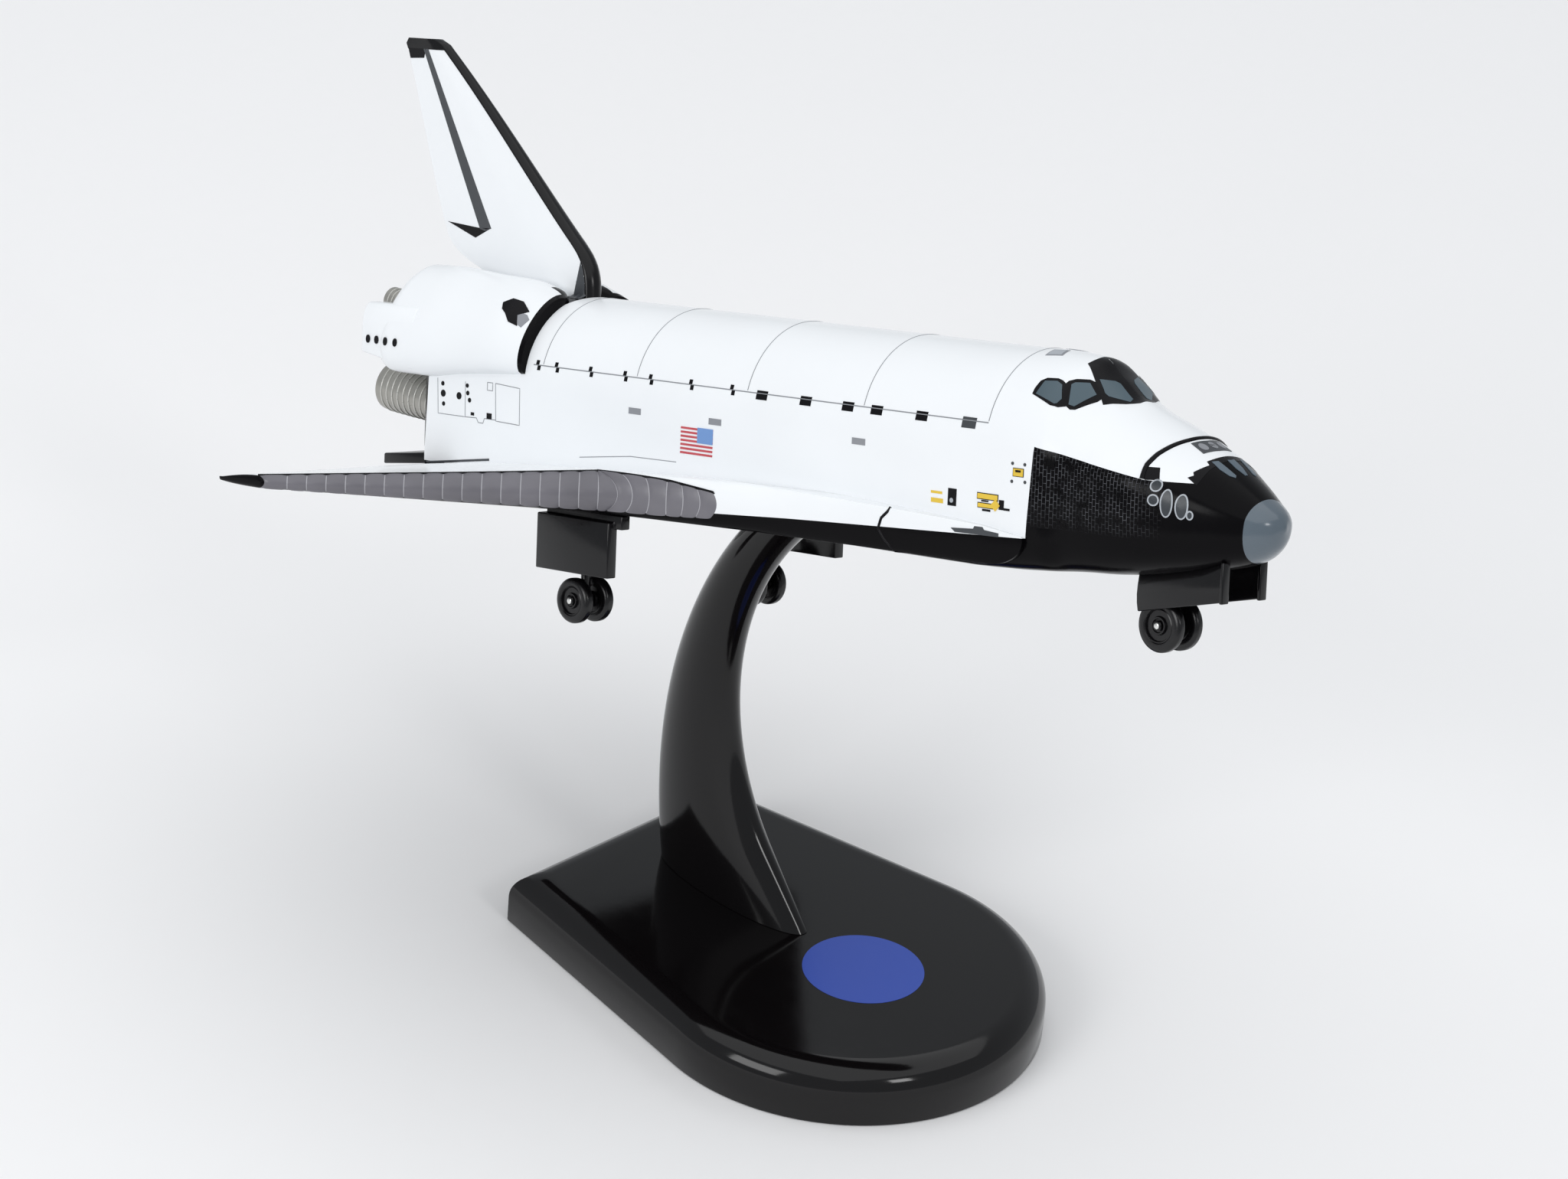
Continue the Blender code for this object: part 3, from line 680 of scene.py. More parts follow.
def meshed(shape: Shape) -> bmesh.types.BMesh:
    """A shape as a mesh under construction, merged and with its faces outward.

    Args:
        shape: The shape.

    Returns:
        The mesh.
    """
    build = bmesh.new()
    verts = [build.verts.new(v) for v in shape[0]]
    for face in shape[1]:
        build.faces.new([verts[i] for i in face])
    bmesh.ops.remove_doubles(build, verts=build.verts, dist=1e-5)
    bmesh.ops.recalc_face_normals(build, faces=build.faces)
    return build


def linked(name: str, data: bpy.types.ID) -> bpy.types.Object:
    """A new object in the scene.

    Args:
        name: Its name.
        data: Its mesh, light or camera.

    Returns:
        The object.
    """
    obj = bpy.data.objects.new(name, data)
    bpy.context.scene.collection.objects.link(obj)
    return obj


def finished(name: str, build: bmesh.types.BMesh) -> bpy.types.Object:
    """An object in the scene from a mesh under construction.

    Args:
        name: Its name.
        build: The mesh, which is freed.

    Returns:
        The object.
    """
    mesh = bpy.data.meshes.new(name)
    build.to_mesh(mesh)
    build.free()
    return linked(name, mesh)


@dataclass
class Workshop:
    """Turns shapes into pieces that ride on the frame."""

    frame: dict
    placement: Matrix
    materials: dict[str, bpy.types.Material]
    cut_sharp: float = 35.0
    node_sharp: float = 30.0

    def piece(
        self,
        name: str,
        shape: Shape,
        material: str,
        slot: Slot = Slot.WHITE,
        *,
        body: str = BODY,
        nodes: Sequence[str] = (),
        place: Matrix | None = None,
        sharp: float = 35.0,
        bevel: float = 0.0,
    ) -> bpy.types.Object:
        """Makes an object from a shape, dresses it and lets it ride.

        Args:
            name: The piece's name.
            shape: Its vertices and faces, in millimetres.
            material: The short name of its material.
            slot: The record's material slot; not used.
            body: The CAD body that it rides on.
            nodes: The CAD nodes that it replaces.
            place: From the shape's frame to metres; the orbiter's when left out.
            sharp: Edges over this angle, in degrees, stay sharp.
            bevel: Width in millimetres of a bevel on sharp edges, if any.

        Returns:
            The piece.
        """
        build = meshed(shape)
        build.transform(self.placement if place is None else place)
        obj = finished(name, build)
        if bevel:
            self.soften(obj, bevel, sharp, 3)
        return self.dress(obj, material, body, nodes, sharp)

    def dress(
        self, obj: bpy.types.Object, material: str, body: str, nodes: Sequence[str], sharp: float
    ) -> bpy.types.Object:
        """Gives an object its material and smooth faces, and lets it ride.

        Args:
            obj: The object.
            material: The short name of its material.
            body: The CAD body that it rides on.
            nodes: The CAD nodes that it replaces.
            sharp: Edges over this angle, in degrees, stay sharp.

        Returns:
            The same object.
        """
        obj.data.materials.clear()
        obj.data.materials.append(self.materials[material])
        obj.data.shade_smooth()
        obj.data.set_sharp_from_angle(angle=math.radians(sharp))
        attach(obj, body)
        if nodes:
            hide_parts(*nodes)
        log.info("%s: %d faces on %s", obj.name, len(obj.data.polygons), body)
        return obj

    def apply(self, obj: bpy.types.Object) -> None:
        """Makes an object with its modifiers into a plain mesh.

        Args:
            obj: The object.
        """
        graph = bpy.context.evaluated_depsgraph_get()
        made = bpy.data.meshes.new_from_object(obj.evaluated_get(graph), depsgraph=graph)
        obj.modifiers.clear()
        old, obj.data = obj.data, made
        bpy.data.meshes.remove(old)
        made.name = obj.name

    def soften(self, obj: bpy.types.Object, width: float, sharp: float, segments: int) -> None:
        """Bevels an object's sharp edges.

        Args:
            obj: The object.
            width: The bevel's width in millimetres.
            sharp: Edges over this angle, in degrees, are beveled.
            segments: Steps round the bevel.
        """
        edges = obj.modifiers.new("edges", "BEVEL")
        edges.width, edges.segments, edges.limit_method = width * MM, segments, "ANGLE"
        edges.angle_limit = math.radians(sharp)
        self.apply(obj)

    def cut(self, obj: bpy.types.Object, shape: Shape) -> None:
        """Cuts a shape out of a piece.

        Args:
            obj: The piece.
            shape: What is cut out of it, in orbiter millimetres.
        """
        build = meshed(shape)
        build.transform(self.placement)
        cutter = finished("cutter", build)
        step = obj.modifiers.new("cut", "BOOLEAN")
        step.operation, step.solver, step.object = "DIFFERENCE", "EXACT", cutter
        material = obj.data.materials[0]
        self.apply(obj)
        obj.data.materials.clear()
        obj.data.materials.append(material)
        for polygon in obj.data.polygons:
            polygon.material_index = 0
        obj.data.shade_smooth()
        obj.data.set_sharp_from_angle(angle=math.radians(self.cut_sharp))
        bpy.data.objects.remove(cutter)

    def grown(self, name: str, tree: Tree, seed: bpy.types.Mesh, values: dict) -> bpy.types.Object:
        """Runs a geometry tree on a mesh and returns the result as a plain object.

        Args:
            name: The object's name.
            tree: The tree, whose inputs have names.
            seed: The mesh that the tree starts from.
            values: The inputs by name.

        Returns:
            An object in millimetres that isn't placed yet.
        """
        obj = linked(name, seed)
        modifier = obj.modifiers.new("grow", "NODES")
        modifier.node_group = tree
        for item in tree.interface.items_tree:
            if item.item_type == "SOCKET" and item.in_out == "INPUT" and item.name in values:
                modifier[item.identifier] = values[item.name]
        self.apply(obj)
        return obj

    def refined(self, node: str, material: str, bevel: float) -> bpy.types.Object:
        """A copy of a black CAD node with softened edges, which replaces it.

        Args:
            node: The CAD node.
            material: The short name of the material.
            bevel: Width of the edges' bevel, in millimetres.

        Returns:
            The piece.
        """
        build = bmesh.new()
        build.from_mesh(self.frame["nodes"][node].data)
        bmesh.ops.remove_doubles(build, verts=build.verts, dist=1e-6)
        bmesh.ops.dissolve_limit(build, angle_limit=math.radians(1), verts=build.verts, edges=build.edges)
        obj = finished(f"{node}_finished", build)
        self.soften(obj, bevel, self.node_sharp, 2)
        return self.dress(obj, material, BODY, (node,), self.node_sharp)


# Geometry trees


def new_tree(name: str, sizes: dict[str, str]) -> tuple[Tree, bpy.types.Node]:
    """A geometry tree whose inputs are a geometry, its sizes and a material.

    Args:
        name: The tree's name.
        sizes: The kind of each size by its name.

    Returns:
        The tree and its input node.
    """
    tree = bpy.data.node_groups.new(name, "GeometryNodeTree")
    for label, kind in {"Geometry": "Geometry", **sizes, "Material": "Material"}.items():
        tree.interface.new_socket(label, in_out="INPUT", socket_type=f"NodeSocket{kind}")
    tree.interface.new_socket("Geometry", in_out="OUTPUT", socket_type="NodeSocketGeometry")
    return tree, add_node(tree, "NodeGroupInput")


def end_tree(tree: Tree, given: bpy.types.Node, made: Source) -> Tree:
    """Ends a tree with its instances realized and its material set.

    Args:
        tree: The tree.
        given: Its input node.
        made: What it has made.

    Returns:
        The tree.
    """
    real = add_node(tree, "GeometryNodeRealizeInstances", (made,))
    settings = {"Geometry": real, "Material": given.outputs["Material"]}
    add_node(tree, "NodeGroupOutput", (add_node(tree, "GeometryNodeSetMaterial", settings),))
    return tree


def bead_tree() -> Tree:
    """Lines of a mesh become round beads, which show as printed or engraved lines.

    Returns:
        The tree, with inputs Radius and Sides.
    """
    tree, given = new_tree("bead_along_lines", {"Radius": "Float", "Sides": "Int"})
    line = add_node(tree, "GeometryNodeMeshToCurve", (given,))
    ring = add_node(tree, CIRCLE, {"Resolution": given.outputs["Sides"], "Radius": given.outputs["Radius"]})
    ends = {"Curve": line, "Profile Curve": ring, "Fill Caps": True}
    return end_tree(tree, given, add_node(tree, "GeometryNodeCurveToMesh", ends))


def rib_tree() -> Tree:
    """A stack of round ribs along a bell whose radius grows with the root of the way.

    Returns:
        The tree, with inputs Ribs, Pitch, Throat Radius, Exit Radius and Rib Radius.
    """
    sizes = {"Ribs": "Int"} | dict.fromkeys(("Pitch", "Throat Radius", "Exit Radius", "Rib Radius"), "Float")
    tree, given = new_tree("ribs_round_bell", sizes)
    ribs, pitch, throat, mouth, thick = (given.outputs[name] for name in sizes)
    step = add_node(tree, "ShaderNodeCombineXYZ", {"Z": pitch})
    row = add_node(tree, "GeometryNodeMeshLine", {"Count": ribs, "Start Location": step, "Offset": step})
    first = add_node(tree, MATH, (add_node(tree, "GeometryNodeInputIndex"), 1.0), operation="ADD")
    whole = add_node(tree, MATH, (ribs, 1.0), operation="ADD")
    share = add_node(tree, MATH, (first, whole), operation="DIVIDE")
    root = add_node(tree, MATH, (share, 0.5), operation="POWER")
    radius = add_node(tree, MAP_RANGE, {0: root, 3: throat, 4: mouth})
    size = add_node(tree, "ShaderNodeCombineXYZ", (radius, radius, 1.0))
    hoop = add_node(tree, CIRCLE, {"Resolution": 72, "Radius": 1.0})
    spots = {"Points": row, "Instance": hoop, "Scale": size}
    hoops = add_node(tree, "GeometryNodeInstanceOnPoints", spots)
    loops = add_node(tree, "GeometryNodeRealizeInstances", (hoops,))
    ring = add_node(tree, CIRCLE, {"Resolution": 8, "Radius": thick})
    return end_tree(tree, given, add_node(tree, "GeometryNodeCurveToMesh", (loops, ring)))


# The orbiter's skins


@dataclass
class Fuselage:
    """The body's smooth skin, from the nose cap to the engine bulkhead."""

    stations: Table = (
        # s, half width, top, middle, bottom, then the powers of its crown and its keel
        (0.95, 0.1, -4.6, -4.75, -4.9, 2.0, 2.0),
        (1.15, 0.65, -4.1, -4.7, -5.4, 2.0, 2.0),
        (1.4, 1.35, -3.65, -4.7, -6.3, 2.0, 2.0),
        (2.0, 2.2, -3.1, -4.6, -7.1, 2.0, 2.1),
        (3.25, 3.15, -2.2, -4.4, -8.0, 1.9, 2.3),
        (5.3, 4.35, -0.75, -4.0, -8.75, 1.9, 2.6),
        (7.8, 5.45, 0.85, -3.5, -9.3, 1.95, 3.0),
        (10.7, 6.5, 2.25, -2.8, -9.8, 1.9, 3.5),
        (14.1, 7.4, 3.6, -2.0, -10.3, 1.8, 4.0),
        (17.1, 7.8, 4.8, -1.2, -10.55, 1.65, 4.8),
        (18.9, 7.9, 6.15, -0.8, -10.6, 1.5, 5.4),
        (20.7, 8.0, 7.6, -0.4, -10.7, 1.6, 6.0),
        (22.9, 8.6, 8.65, -0.2, -10.85, 1.8, 7.0),
        (27.3, 8.85, 8.95, 0.0, -11.0, 1.9, 10.0),
        (31.0, 8.85, 8.9, 0.0, -11.0, 2.0, 16.0),
        (98.0, 8.85, 8.9, 0.0, -11.0, 2.0, 16.0),
        (105.4, 8.85, 8.9, 0.0, -10.1, 2.0, 16.0),
    )
    # Start, end and step of the rings, closest where the nose bends
    spans: Table = ((0.95, 2.0, 0.12), (2.0, 31.0, 0.4), (31.0, 98.0, 4.0), (98.0, 105.4, 0.9))
    ring_steps: int = 144
    bay: tuple[Point, Point] = ((-2.4, 5.9, -14.0), (2.4, 14.6, -9.8))
    rear_lean: float = 0.009
    rear_lean_z: float = -3.0
    rear_lean_s: float = 100.0
    windshield_s: tuple[float, ...] = (17.3, 18.4, 20.6, 22.4)
    windshield_half: float = 3.3
    windshield_depth: float = 0.46
    cap_s: float = 2.8
    cap_lean: float = 0.09
    cap_lift: float = 0.015
    bay_door_z: float = 2.35

    @cached_property
    def curve(self) -> Curve:
        """The curves through the stations."""
        return Curve(self.stations)

    def ring(self, s: float) -> list[Point]:
        """The cross-section at a distance aft, with its points spread evenly in turn.

        Args:
            s: The distance.

        Returns:
            The points.
        """
        half, top, middle, bottom, crown, keel = self.curve(s)
        lean = self.rear_lean * max(0.0, s - self.rear_lean_s)
        ring = []
        for angle in turns(self.ring_steps, 0.5):
            c, n = math.cos(angle), math.sin(angle)
            power, reach = (crown, top - middle) if n > 0 else (keel, middle - bottom)
            size = (abs(c) ** power + abs(n) ** power) ** (-1 / power)
            x, z = half * c * size, middle + reach * n * size
            ring.append((x, s + lean * (self.rear_lean_z - z), z - self.hollow(x, s) if n > 0 else z))
        return ring

    def hollow(self, x: float, s: float) -> float:
        """How far the flat windshield lies under the body's round crown.

        Args:
            x: Distance to port.
            s: Distance aft.

        Returns:
            The depth.
        """
        start, full, fade, end = self.windshield_s
        share = max(0.0, min(1.0, (s - start) / (full - start), (end - s) / (end - fade)))
        return self.windshield_depth * max(0.0, 1 - (x / self.windshield_half) ** 2) * eased(share)

    def arc(self, s: float) -> tuple[Point, ...]:
        """The skin's edge over the starboard half, from the bay door's edge to the middle."""
        half = [p for p in self.ring(s) if p[0] <= 0 and p[2] >= self.bay_door_z]
        return (*reversed(half), (0.0, s, self.curve(s)[1]))

    def cap(self) -> Shape:
        """The nose cap: the skin ahead of a slightly leaning plane, a hair thicker.

        Returns:
            Its shape.
        """
        build = meshed(loft([self.ring(s) for s in steps(0.95, 4.4, 0.12)]))
        build.normal_update()
        for vert in build.verts:
            vert.co += vert.normal * self.cap_lift
        everything = [*build.verts, *build.edges, *build.faces]
        plane = {"plane_co": (0, self.cap_s, 0), "plane_no": (0, 1, self.cap_lean)}
        bmesh.ops.bisect_plane(build, geom=everything, clear_outer=True, **plane)
        bmesh.ops.holes_fill(build, edges=[edge for edge in build.edges if edge.is_boundary])
        build.verts.index_update()
        shape = [v.co.copy() for v in build.verts], [tuple(v.index for v in f.verts) for f in build.faces]
        build.free()
        return shape

    def build(self, shop: Workshop) -> Shape:
        """Makes the body with its open nose bay, and the nose cap.

        Args:
            shop: Where pieces are made.

        Returns:
            The uncut skin, for prints to lie on.
        """
        skin = loft([self.ring(s) for s in chained(*self.spans)])
        body = shop.piece("fuselage", skin, "body", nodes=("orbiter_body",))
        shop.cut(body, block(*self.bay))
        shop.piece("nose_cap", self.cap(), "cap", sharp=50)
        return skin


@dataclass
class Pods:
    """The two engine pods, swellings on the body's round back, with thruster boxes."""

    body_half: float = 8.85
    body_top: float = 8.9
    rows: Table = (
        # s, low angle, high angle, rise above the body
        (91.0, 8.5, 70.0, 0.95),
        (92.6, 7.5, 78.0, 1.35),
        (95.5, 6.0, 80.0, 2.0),
        (100.0, 3.5, 80.0, 2.25),
        (106.0, -1.0, 80.0, 2.7),
        (109.6, -1.0, 79.0, 2.7),
        (111.0, 1.0, 77.0, 2.2),
        (111.9, 4.0, 72.0, 1.3),
        (112.1, 7.0, 68.0, 0.7),
    )
    ring_step: float = 0.35
    arc_steps: int = 56
    shoulder: float = 0.25
    depth: float = 1.0
    box_inner: float = 8.3
    box_outer: float = 10.6
    # s and floor of the box's two ends
    box_ends: Table = ((106.0, 0.5), (113.9, 1.7))
    box_roof: float = 6.85
    box_corner: float = 1.1

    def skin(self) -> Shape:
        """The starboard pod: an outer face over the body, closed by a chord inside it.

        Returns:
            Its shape.
        """
        curve = Curve(self.rows)
        rings = []
        for s in steps(self.rows[0][0], self.rows[-1][0], self.ring_step):
            low, high, rise = curve(s)
            low, high = math.radians(low), math.radians(high)
            lifts = [(low, -self.depth)]
            for part in steps(0, 1, 1 / self.arc_steps):
                swell = rise * (1 + self.shoulder * part)
                lifts.append((low + (high - low) * part, swell * math.sqrt(1 - abs(2 * part - 1) ** 4)))
            lifts.append((high, -self.depth))
            half, top = self.body_half, self.body_top
            rings.append([(-(half + up) * math.cos(a), s, (top + up) * math.sin(a)) for a, up in lifts])
        return loft(rings)

    def box(self) -> Shape:
        """The starboard thruster box, whose floor rises aft.

        Returns:
            Its shape.
        """
        inner, outer, roof, corner = self.box_inner, self.box_outer, self.box_roof, self.box_corner
        rings = []
        for s, floor in self.box_ends:
            outline = [(inner, floor), (outer, floor)]
            for angle in steps(0, math.pi / 2, math.pi / 12):
                across, rise = corner * (1 - math.cos(angle)), 2 * corner * math.sin(angle)
                outline.append((outer - across, roof - 2 * corner + rise))
            rings.append([(-x, s, z) for x, z in (*outline, (inner, roof))])
        return loft(rings)

    def build(self, shop: Workshop) -> Shape:
        """Makes both pods and boxes.

        Args:
            shop: Where pieces are made.

        Returns:
            The starboard pod's skin.
        """
        skin = self.skin()
        for side in Side:
            shop.piece(f"engine_pod_{side.label}", side.turned(skin), "pod", sharp=50)
            shop.piece(f"thruster_box_{side.label}", side.turned(self.box()), "white", bevel=0.22)
        return skin


@dataclass
class Wings:
    """The double-delta wing with its grey leading-edge panels. Its tables run over the span."""

    inner_x: float = 7.9
    root_x: float = 9.0
    kink_x: float = 17.1
    lead: Table = ((9.0, 24.0), (12.2, 50.0), (17.1, 68.3), (40.5, 93.6))
    trail: Table = ((9.0, 106.0), (40.5, 99.8))
    bottom: Table = ((9.0, -10.5), (17.1, -10.05), (40.5, -8.85))
    thick: Table = ((9.0, 4.9), (17.1, 4.1), (40.5, 1.2))
    trail_thick: float = 0.35
    trail_rise: float = 0.2
    # How much of the section's height is left beside the round tip
    tip_shrink: Table = ((40.38, 0.86), (40.47, 0.6), (40.5, 0.3))
    bay: tuple[Point, Point] = ((-15.4, 70.7, -14.0), (-9.0, 79.6, -9.8))
    # How high the glove's top may reach, by the distance aft
    ceiling: Table = ((24.0, -7.6), (29.0, -6.9), (38.8, -6.4), (49.0, -6.0), (60.0, -5.6))
    panel_from_x: float = 14.3
    panel_to_x: float = 40.3
    panel_pitch: float = 1.87
    shortest_panel: float = 0.4
    panel_gap: float = 0.1
    panel_lift: float = 0.12
    panel_sunk: float = 0.15
    # How much of its lift a panel loses at its joints
    pillow: float = 0.75
    # Where a panel ends above and under the edge, in degrees round it
    panel_top: Table = ((14.1, 26.0), (17.1, 76.0), (27.0, 71.0), (39.5, 70.0))
    panel_low: Table = ((14.1, -36.0), (17.1, -54.0), (39.5, -60.0))
    square_in: float = 1.5
    line_width: Table = ((14.3, 0.3), (17.1, 0.34), (19.0, 0.26), (39.5, 0.18))

    def nose(self, x: float) -> tuple[float, ...]:
        """The leading edge, the nose's depth, the underside and the thickness at a span.

        Args:
            x: The span.

        Returns:
            The four.
        """
        lead, trail, bottom, thick = (
            between(table, x) for table in (self.lead, self.trail, self.bottom, self.thick)
        )
        return lead, min(thick * 0.9, (trail - lead) * 0.3), bottom, thick

    def at_nose(self, x: float, angle: float, lift: float = 0.0) -> Point:
        """A point on the round leading edge of the starboard wing.

        Args:
            x: The span.
            angle: From -90 under it to 90 above it, in degrees.
            lift: How far off the surface.

        Returns:
            The point.
        """
        lead, depth, bottom, thick = self.nose(x)
        turn = math.radians(angle)
        s = lead + depth - (depth + lift) * math.cos(turn)
        return (-x, s, bottom + thick / 2 + (thick / 2 + lift) * math.sin(turn))

    def ring(self, x: float, shrink: float = 1.0) -> list[Point]:
        """A section: a round nose, a flat bottom and a thin rear edge.

        Args:
            x: The span.
            shrink: The share of its height that it keeps.

        Returns:
            Its points.
        """
        lead, depth, bottom, thick = self.nose(x)
        run = between(self.trail, x) - lead - depth
        spare = thick - self.trail_thick
        upper = [self.at_nose(x, a)[1:] for a in steps(0, 90, 6)]
        lower = [self.at_nose(x, -a)[1:] for a in steps(0, 90, 6)]
        for part in steps(0, 1, 0.04)[1:]:
            s = lead + depth + run * part
            upper.append((s, bottom + thick - spare * (1 - self.trail_rise) * part**1.6))
            lower.append((s, bottom + spare * self.trail_rise * part**3))
        outline = lower[:0:-1] + upper
        if x < self.kink_x:
            outline = [(s, min(z, between(self.ceiling, s))) for s, z in outline]
        middle = bottom + thick / 2
        return [(-x, s, middle + (z - middle) * shrink) for s, z in outline]

    def half(self) -> Shape:
        """The starboard wing, rounded at its tip.

        Returns:
            Its shape.
        """
        inner, root, kink = self.inner_x, self.root_x, self.kink_x
        spans = chained((inner, root, root - inner), (root, kink, 0.5), (kink, 17.6, 0.5), (17.6, 40.2, 0.9))
        return loft([self.ring(*at) for at in (*((x,) for x in spans), *self.tip_shrink)])

    def panel_edges(self) -> list[float]:
        """The spans where two leading-edge panels meet, a pitch apart along the edge.

        Returns:
            The spans.
        """
        edges = [self.panel_from_x]
        while True:
            x = edges[-1]
            slope = (between(self.lead, x + 0.01) - between(self.lead, x)) / 0.01
            x += self.panel_pitch / math.hypot(1, slope)
            if x > self.panel_to_x - self.shortest_panel:
                return [*edges, self.panel_to_x]
            edges.append(x)

    def band(self, x: float, low: float, top: float, lift: float, sunk: float) -> list[Point]:
        """A thin section over the leading edge, square to it away from the kink and the ends.

        Args:
            x: The span.
            low: Where it starts under the edge, in degrees.
            top: Where it ends above the edge.
            lift: How far its outer side stands off the wing.
            sunk: How far its inner side lies in it.

        Returns:
            The section's points.
        """
        reach = 0.9
        slope = (between(self.lead, x + reach) - between(self.lead, x - reach)) / (2 * reach)
        near = min(x - self.panel_from_x, abs(x - self.kink_x), self.panel_to_x - x)
        fade = max(0.0, min(1.0, near / self.square_in))
        turn = fade * slope / (1 + slope**2) * self.nose(x)[1]
        around = [(a, lift) for a in steps(low, top, (top - low) / 16)]
        around += [(a, -sunk) for a in steps(top, low, (top - low) / 8)]
        return [self.at_nose(x - turn * (1 - math.cos(math.radians(a))), a, off) for a, off in around]

    def panel(self, start: float, end: float) -> Shape:
        """One leading-edge panel between two spans, slightly pillowed.

        Args:
            start: The inner span.
            end: The outer span.

        Returns:
            Its shape.
        """
        gap = self.panel_gap * (end - start) / self.panel_pitch
        xs = steps(start + gap / 2, end - gap / 2, (end - start) / 5)
        rings = []
        for k, x in enumerate(xs):
            lift = self.panel_lift * (1 - self.pillow * abs(2 * k / (len(xs) - 1) - 1) ** 4)
            low, top = between(self.panel_low, x), between(self.panel_top, x)
            rings.append(self.band(x, low, top, lift, self.panel_sunk))
        return loft(rings)

    def strip(self, inset: float) -> list[float]:
        """Spans along all the panels, drawn in at both ends."""
        start, end = self.panel_from_x + inset, self.panel_to_x - inset
        return chained((start, self.kink_x, 0.3), (self.kink_x, end, 0.4))

    def backing(self) -> Shape:
        """The paler strip that shows in the joints between the panels.

        Returns:
            Its shape.
        """
        low, top = self.panel_low, self.panel_top
        xs = self.strip(0.05)
        return loft([self.band(x, between(low, x) + 3, between(top, x) - 3, 0.01, 0.1) for x in xs])

    def edge_line(self) -> Shape:
        """The black line along the panels' upper edge.

        Returns:
            Its shape.
        """
        rings = []
        for x in self.strip(0.0):
            top = between(self.panel_top, x)
            reach = math.degrees(between(self.line_width, x) / self.nose(x)[1])
            rings.append(self.band(x, top - 2, top + reach, self.panel_lift + 0.02, 0.1))
        return loft(rings)

    def build(self, shop: Workshop) -> Shape:
        """Makes both wings and their panels.

        Args:
            shop: Where pieces are made.

        Returns:
            The starboard wing's skin.
        """
        half = self.half()
        edges = self.panel_edges()
        trims = {
            "leading_edge_panels": (joined(self.panel(a, b) for a, b in zip(edges, edges[1:])), "panel"),
            "panel_joints": (self.backing(), "joint"),
            "panel_edge_line": (self.edge_line(), "ink_black"),
        }
        for side in Side:
            whole = side.turned(half)
            wing = shop.piece(f"wing_{side.label}", whole, "wing", nodes=("wing_and_belly",), sharp=40)
            shop.cut(wing, side.turned(block(*self.bay)))
            for name, (shape, material) in trims.items():
                shop.piece(f"{name}_{side.label}", side.turned(shape), material, sharp=50)
        return half


@dataclass
class Fin:
    """The vertical tail, with a black leading edge and tip."""

    rows: Table = (
        # z, leading edge, trailing edge, half thickness
        (8.6, 90.03, 102.6, 1.3),
        (10.3, 90.15, 106.2, 1.28),
        (11.5, 90.45, 109.2, 1.25),
        (12.7, 91.1, 111.2, 1.22),
        (13.7, 92.0, 112.1, 1.2),
        (15.1, 93.55, 112.75, 1.18),
        (32.8, 113.0, 119.6, 0.68),
        (33.5, 113.9, 119.9, 0.66),
        (33.8, 114.8, 119.5, 0.64),
    )
    ring_step: float = 0.55
    round_depth: float = 0.6
    # Distances behind the leading edge, close together where it is round
    round_places: tuple[float, ...] = (0.0, 0.03, 0.09, 0.18, 0.3, 0.45, 0.6, 0.75)
    # Where a section is thickest, what its round front has of that, and what its rear edge lacks
    widest_at: float = 0.33
    front_share: float = 0.8
    rear_thins: float = 0.5
    band: float = 0.8
    band_from_z: float = 8.75
    band_lift: float = 0.05
    tip_band: float = 1.1
    tip_middle_s: float = 117.0
    tip_growth: float = 1.006
    tip_lift: float = 0.02

    def half_at(self, behind: float, chord: float, half: float) -> float:
        """Half the thickness at a distance behind the leading edge.

        Args:
            behind: The distance.
            chord: The section's length.
            half: Half its greatest thickness.

        Returns:
            Half the thickness there.
        """
        widest, front = chord * self.widest_at, self.front_share
        if behind < self.round_depth:
            return front * half * math.sqrt(behind / self.round_depth)
        if behind < widest:
            return half * (front + (1 - front) * (behind - self.round_depth) / (widest - self.round_depth))
        return half * (1 - self.rear_thins * (behind - widest) / (chord - widest))

    def skin(self, low: float, high: float, end: float | None = None) -> Shape:
        """A closed part of the fin, from its leading edge back.

        Args:
            low: Where it starts, in z.
            high: Where it ends.
            end: How far behind the leading edge a raised band ends, or None for the whole chord.

        Returns:
            Its shape.
        """
        curve = Curve(self.rows)
        rings = []
        for z in steps(low, high, self.ring_step):
            lead, trail, half = curve(z)
            chord = trail - lead
            last, lift = (chord, 0.0) if end is None else (end, self.band_lift)
            first = self.round_places[-1]
            places = [*self.round_places, *steps(first, last, (last - first) / 14)[1:]]
            side = [(self.half_at(d, chord, half) + lift, lead + d - lift) for d in places]
            other = [(-x, s) for x, s in reversed(side) if x > lift]
            rings.append([(x, s, z) for x, s in side + other])
        return loft(rings)

    def build(self, shop: Workshop) -> Shape:
        """Makes the fin and the black bands over its edge and tip.

        Args:
            shop: Where pieces are made.

        Returns:
            The fin's skin.
        """
        top = self.rows[-1][0]
        whole = self.skin(self.rows[0][0], top)
        shop.piece("fin", whole, "white", nodes=("vertical_tail",), sharp=50)
        shop.piece("fin_black_edge", self.skin(self.band_from_z, top, self.band), "black", sharp=50)
        verts, faces = self.skin(top - self.tip_band, top)
        middle = Vector((0, self.tip_middle_s, top - self.tip_band / 2))
        grown = [middle + (v - middle) * self.tip_growth for v in verts]
        for vert, old in zip(grown, verts):
            vert.x += math.copysign(self.tip_lift, old.x)
        shop.piece("fin_black_tip", (grown, faces), "black", sharp=50)
        return whole


# Engines and landing gear


